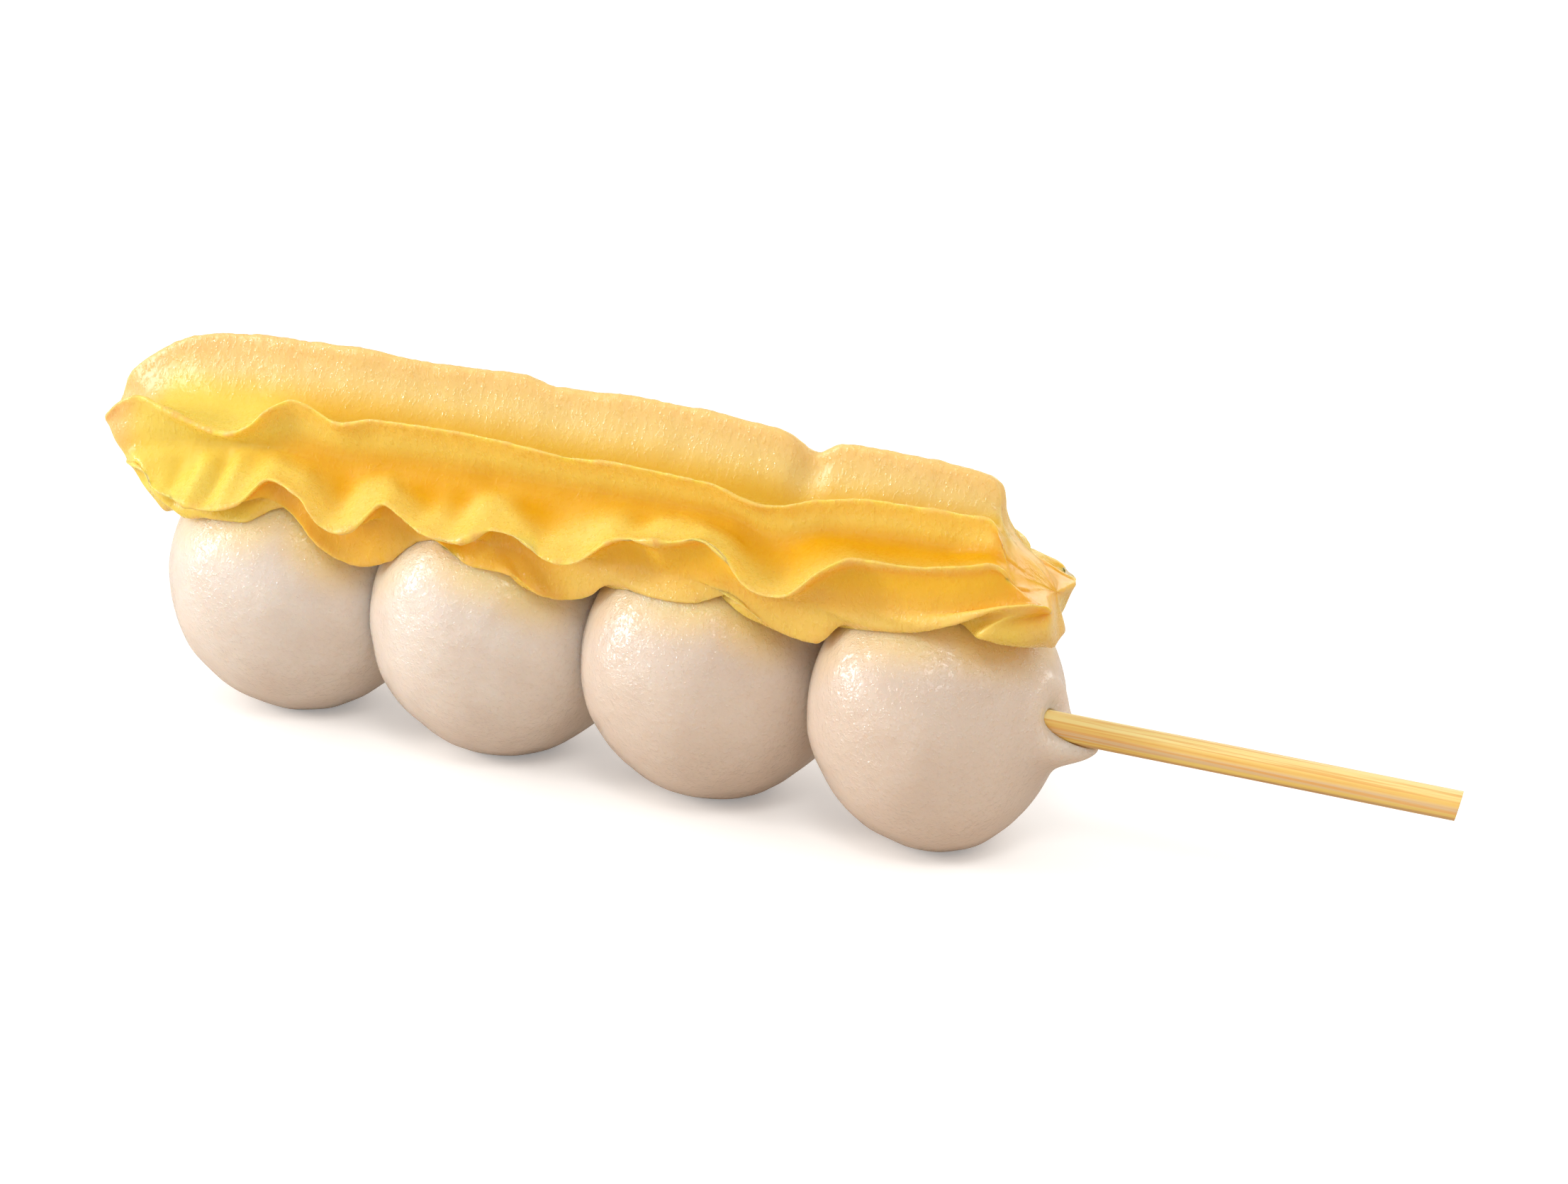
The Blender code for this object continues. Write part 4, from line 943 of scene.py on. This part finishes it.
def makeDumpling(index, pasteTree):
    ball = dumplings[index]
    first, last = index == 0, index == len(dumplings) - 1
    left = ball["x"] - ball["left"] if first else contactX(index - 1) - dough["overlap"]
    right = ball["x"] + ball["right"] if last else contactX(index) + dough["overlap"]
    startTurn = dough["openStart"] if first else math.acos((ball["x"] - left) / ball["left"])
    endTurn = math.pi - (dough["openEnd"] if last else math.acos((right - ball["x"]) / ball["right"]))
    turns = np.linspace(startTurn, endTurn, dough["controlRings"])
    lengths = np.where(turns < math.pi / 2, ball["left"], ball["right"])
    xs = ball["x"] - lengths * np.cos(turns)
    angles = np.arange(dough["controlSides"]) * math.tau / dough["controlSides"]
    x, angle = np.meshgrid(xs, angles, indexing="ij")
    radius = ballRadius(ball, x, angle)
    y = -radius * np.sin(angle)
    z = np.maximum(radius * np.cos(angle), -rowPlace["axisHeight"])
    rings = list(np.stack([x, y, z], 2))

    def ringAt(ringX, ringRadius):
        spread = np.broadcast_to(ringX, angles.shape)
        across, up = -ringRadius * np.sin(angles), ringRadius * np.cos(angles)
        return np.stack([spread, across, stickZ(spread) + up], 1)

    def pressed(faceX):
        # how far the flat where two dumplings meet reaches out from the bore
        return float(ballRadius(ball, np.array(faceX), 0.0)) - dough["bore"]

    if last:
        low = ((1 - np.cos(angles - math.radians(dough["collarShortSide"]))) / 2) ** 2
        for ringRadius, shortX, longX in dough["collar"]:
            rings.append(ringAt(shortX + (longX - shortX) * low, ringRadius))
        mouthX = shortX + (longX - shortX) * low
        rings += [ringAt(mouthX + 0.1, dough["bore"] + 0.2), ringAt(mouthX - 0.3, dough["bore"])]
        rings += [ringAt(left + 1.0, dough["bore"])]
    else:
        for share in (0.8, 0.5, 0.2, 0.0):
            rings.append(ringAt(right, dough["bore"] + pressed(right) * share))
    if first:
        poleX, poleRadius = dough["pole"]
        rings = [ringAt(left + poleX, poleRadius), *rings]
        rings.append(ringAt(stick["tipX"] + stick["pointLength"], dough["bore"]))
        rings.append(ringAt(stick["tipX"], 0.3))
        grid = softened(np.array(rings), dough["steps"], 0, closed=False)
    else:
        for share in (0.0, 0.2, 0.5, 0.8):
            rings.append(ringAt(left, dough["bore"] + pressed(left) * share))
        grid = softened(np.array(rings), dough["steps"], 0, closed=True)
    grid = softened(grid, dough["steps"], 1, closed=True)

    centre = np.array([ball["x"], 0, 0])
    outward = grid - centre
    reach = np.linalg.norm(outward, axis=2, keepdims=True)
    fromStick = np.hypot(grid[..., 1], grid[..., 2] - stickZ(grid[..., 0]))
    skin = stepped(*dough["smoothMouth"], fromStick)
    height = roughNoise(grid, dough["lumpSize"], 11 + index) * dough["lump"]
    height = height + roughNoise(grid, dough["dimpleSize"], 21 + index) * dough["dimple"]
    grid = grid + outward / np.maximum(reach, 1e-6) * (height * skin)[..., None]
    grid[..., 2] = np.maximum(grid[..., 2], -rowPlace["axisHeight"])

    flat = grid.reshape(-1, 3)
    nearness = np.array([pasteTree.find(p)[2] for p in flat.tolist()])
    stainAndGlow = (1 - stepped(0.0, dough["stainReach"], nearness)) * dough["stainAndGlow"]
    # the topping colours the dough beside it, more to the right of each: partly a smear of topping,
    # partly a painted glow of light through the topping that lifts the shade under it
    rightSide = stepped(*dough["stainTurn"], flat[:, 0] - ball["x"])
    stainAndGlow = stainAndGlow * (dough["stainLeft"] + (1 - dough["stainLeft"]) * rightSide)
    rings, sides = grid.shape[:2]
    if first:
        points = np.concatenate([flat, grid[:1].mean(1), grid[-1:].mean(1)])
        faces = closedFaces(rings, sides)
        stainAndGlow = np.append(stainAndGlow, [0, 0])
    else:
        points = flat
        faces = gridFaces(rings, sides, endless=True)
    shades = {"stainAndGlow": stainAndGlow, "tan": np.full(len(points), ball["tan"])}
    faces = turnedOut(points, faces)
    piece = makePiece(f"riceDumpling{index + 1}", points, faces, doughMaterial, shades)
    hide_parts(f"ball_{index + 1}")


pasteTree = kdtree.KDTree(len(pastePoints))
for n, point in enumerate(pastePoints.tolist()):
    pasteTree.insert(point, n)
pasteTree.balance()
for index in range(len(dumplings)):
    makeDumpling(index, pasteTree)

print("building: floor, light and camera")

studio = {
    "turn": 30.0, "rise": 21.5, "distance": 600.0, "lens": 130.57, "roll": 0.63,
    "aim": (13.98, 10.14, 4.78), "lightAim": (-4.0, 0.0, 0.0),
    "floorSize": 6.0, "floorSeen": (1.0, 1.0, 1.0, 1.0), "floorBounce": (0.66, 0.57, 0.49, 1.0),
    "floorGlow": (0.22, 0.22, 0.22, 1.0), "world": (1.0, 0.985, 0.96, 1.0), "worldStrength": 0.6,
}
# each light's turn, rise, distance, size and power, and its colour
lights = {
    "leftSoftbox": (-70.0, 26.0, 0.8, (0.7, 0.8), 2.0, (1.0, 0.985, 0.96)),
    "softboxCore": (-64.0, 16.0, 0.8, (0.14, 0.34), 2.8, (1.0, 0.99, 0.97)),
    "frontFill": (-16.0, 0.0, 1.1, (1.0, 0.4), 2.0, (1.0, 0.98, 0.95)),
    "rightFill": (88.0, 42.0, 0.9, (0.5, 0.5), 1.3, (1.0, 0.97, 0.93)),
    "topSoftbox": (34.0, 52.0, 0.9, (0.24, 0.24), 1.2, (1.0, 0.98, 0.95)),
    "backFill": (172.0, 24.0, 0.9, (0.8, 0.5), 2.4, (1.0, 0.98, 0.95)),
}


def lookDirection(turn, rise):
    turn, rise = math.radians(turn), math.radians(rise)
    return Vector((math.sin(turn) * math.cos(rise), -math.cos(turn) * math.cos(rise), math.sin(rise)))


def makeFloor():
    half = studio["floorSize"] / 2
    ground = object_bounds()[0].z
    mesh = bpy.data.meshes.new("studioFloor")
    corners = [(x, y, ground) for x, y in ((-half, -half), (half, -half), (half, half), (-half, half))]
    mesh.from_pydata(corners, [], [(0, 1, 2, 3)])
    floor = newObject("studioFloor", mesh)
    material, tree, shader = newMaterial("paleFloor")[:3]
    seen = addNode(tree, "ShaderNodeLightPath").outputs["Is Camera Ray"]
    feedNode(tree, shader, {
        "Base Color": mixNode(tree, seen, studio["floorBounce"], studio["floorSeen"]),
        "Emission Color": mixNode(tree, seen, (0, 0, 0, 1), studio["floorGlow"]),
        "Emission Strength": 1.0, "Roughness": 0.9, "Specular IOR Level": 0.1})
    mesh.materials.append(material)


def makeLight(name, turn, rise, distance, size, power, color):
    data = bpy.data.lights.new(name, "AREA")
    data.shape = "RECTANGLE"
    data.size, data.size_y = size
    data.energy = power
    data.color = color
    light = newObject(name, data)
    away = lookDirection(turn, rise)
    light.location = rowOrigin + Vector(studio["lightAim"]) * mm + away * distance
    light.rotation_euler = away.to_track_quat("Z", "Y").to_euler()


def makeCamera():
    data = bpy.data.cameras.new("camera")
    data.sensor_width = 36.0
    data.lens = studio["lens"]
    data.clip_start = 0.01
    obj = newObject("camera", data)
    obj.location = rowOrigin + lookDirection(studio["turn"], studio["rise"]) * studio["distance"] * mm
    aim = rowOrigin + Vector(studio["aim"]) * mm
    rolled = Quaternion((0, 0, 1), math.radians(studio["roll"]))
    obj.rotation_euler = ((obj.location - aim).to_track_quat("Z", "Y") @ rolled).to_euler()
    bpy.context.scene.camera = obj


makeFloor()
for name, values in lights.items():
    makeLight(name, *values)
makeCamera()
world = bpy.data.worlds.new("studio")
world.use_nodes = True
background = world.node_tree.nodes["Background"]
feedNode(world.node_tree, background, {"Color": studio["world"], "Strength": studio["worldStrength"]})
bpy.context.scene.world = world
bpy.context.scene.view_settings.view_transform = "Standard"

print("building: done")
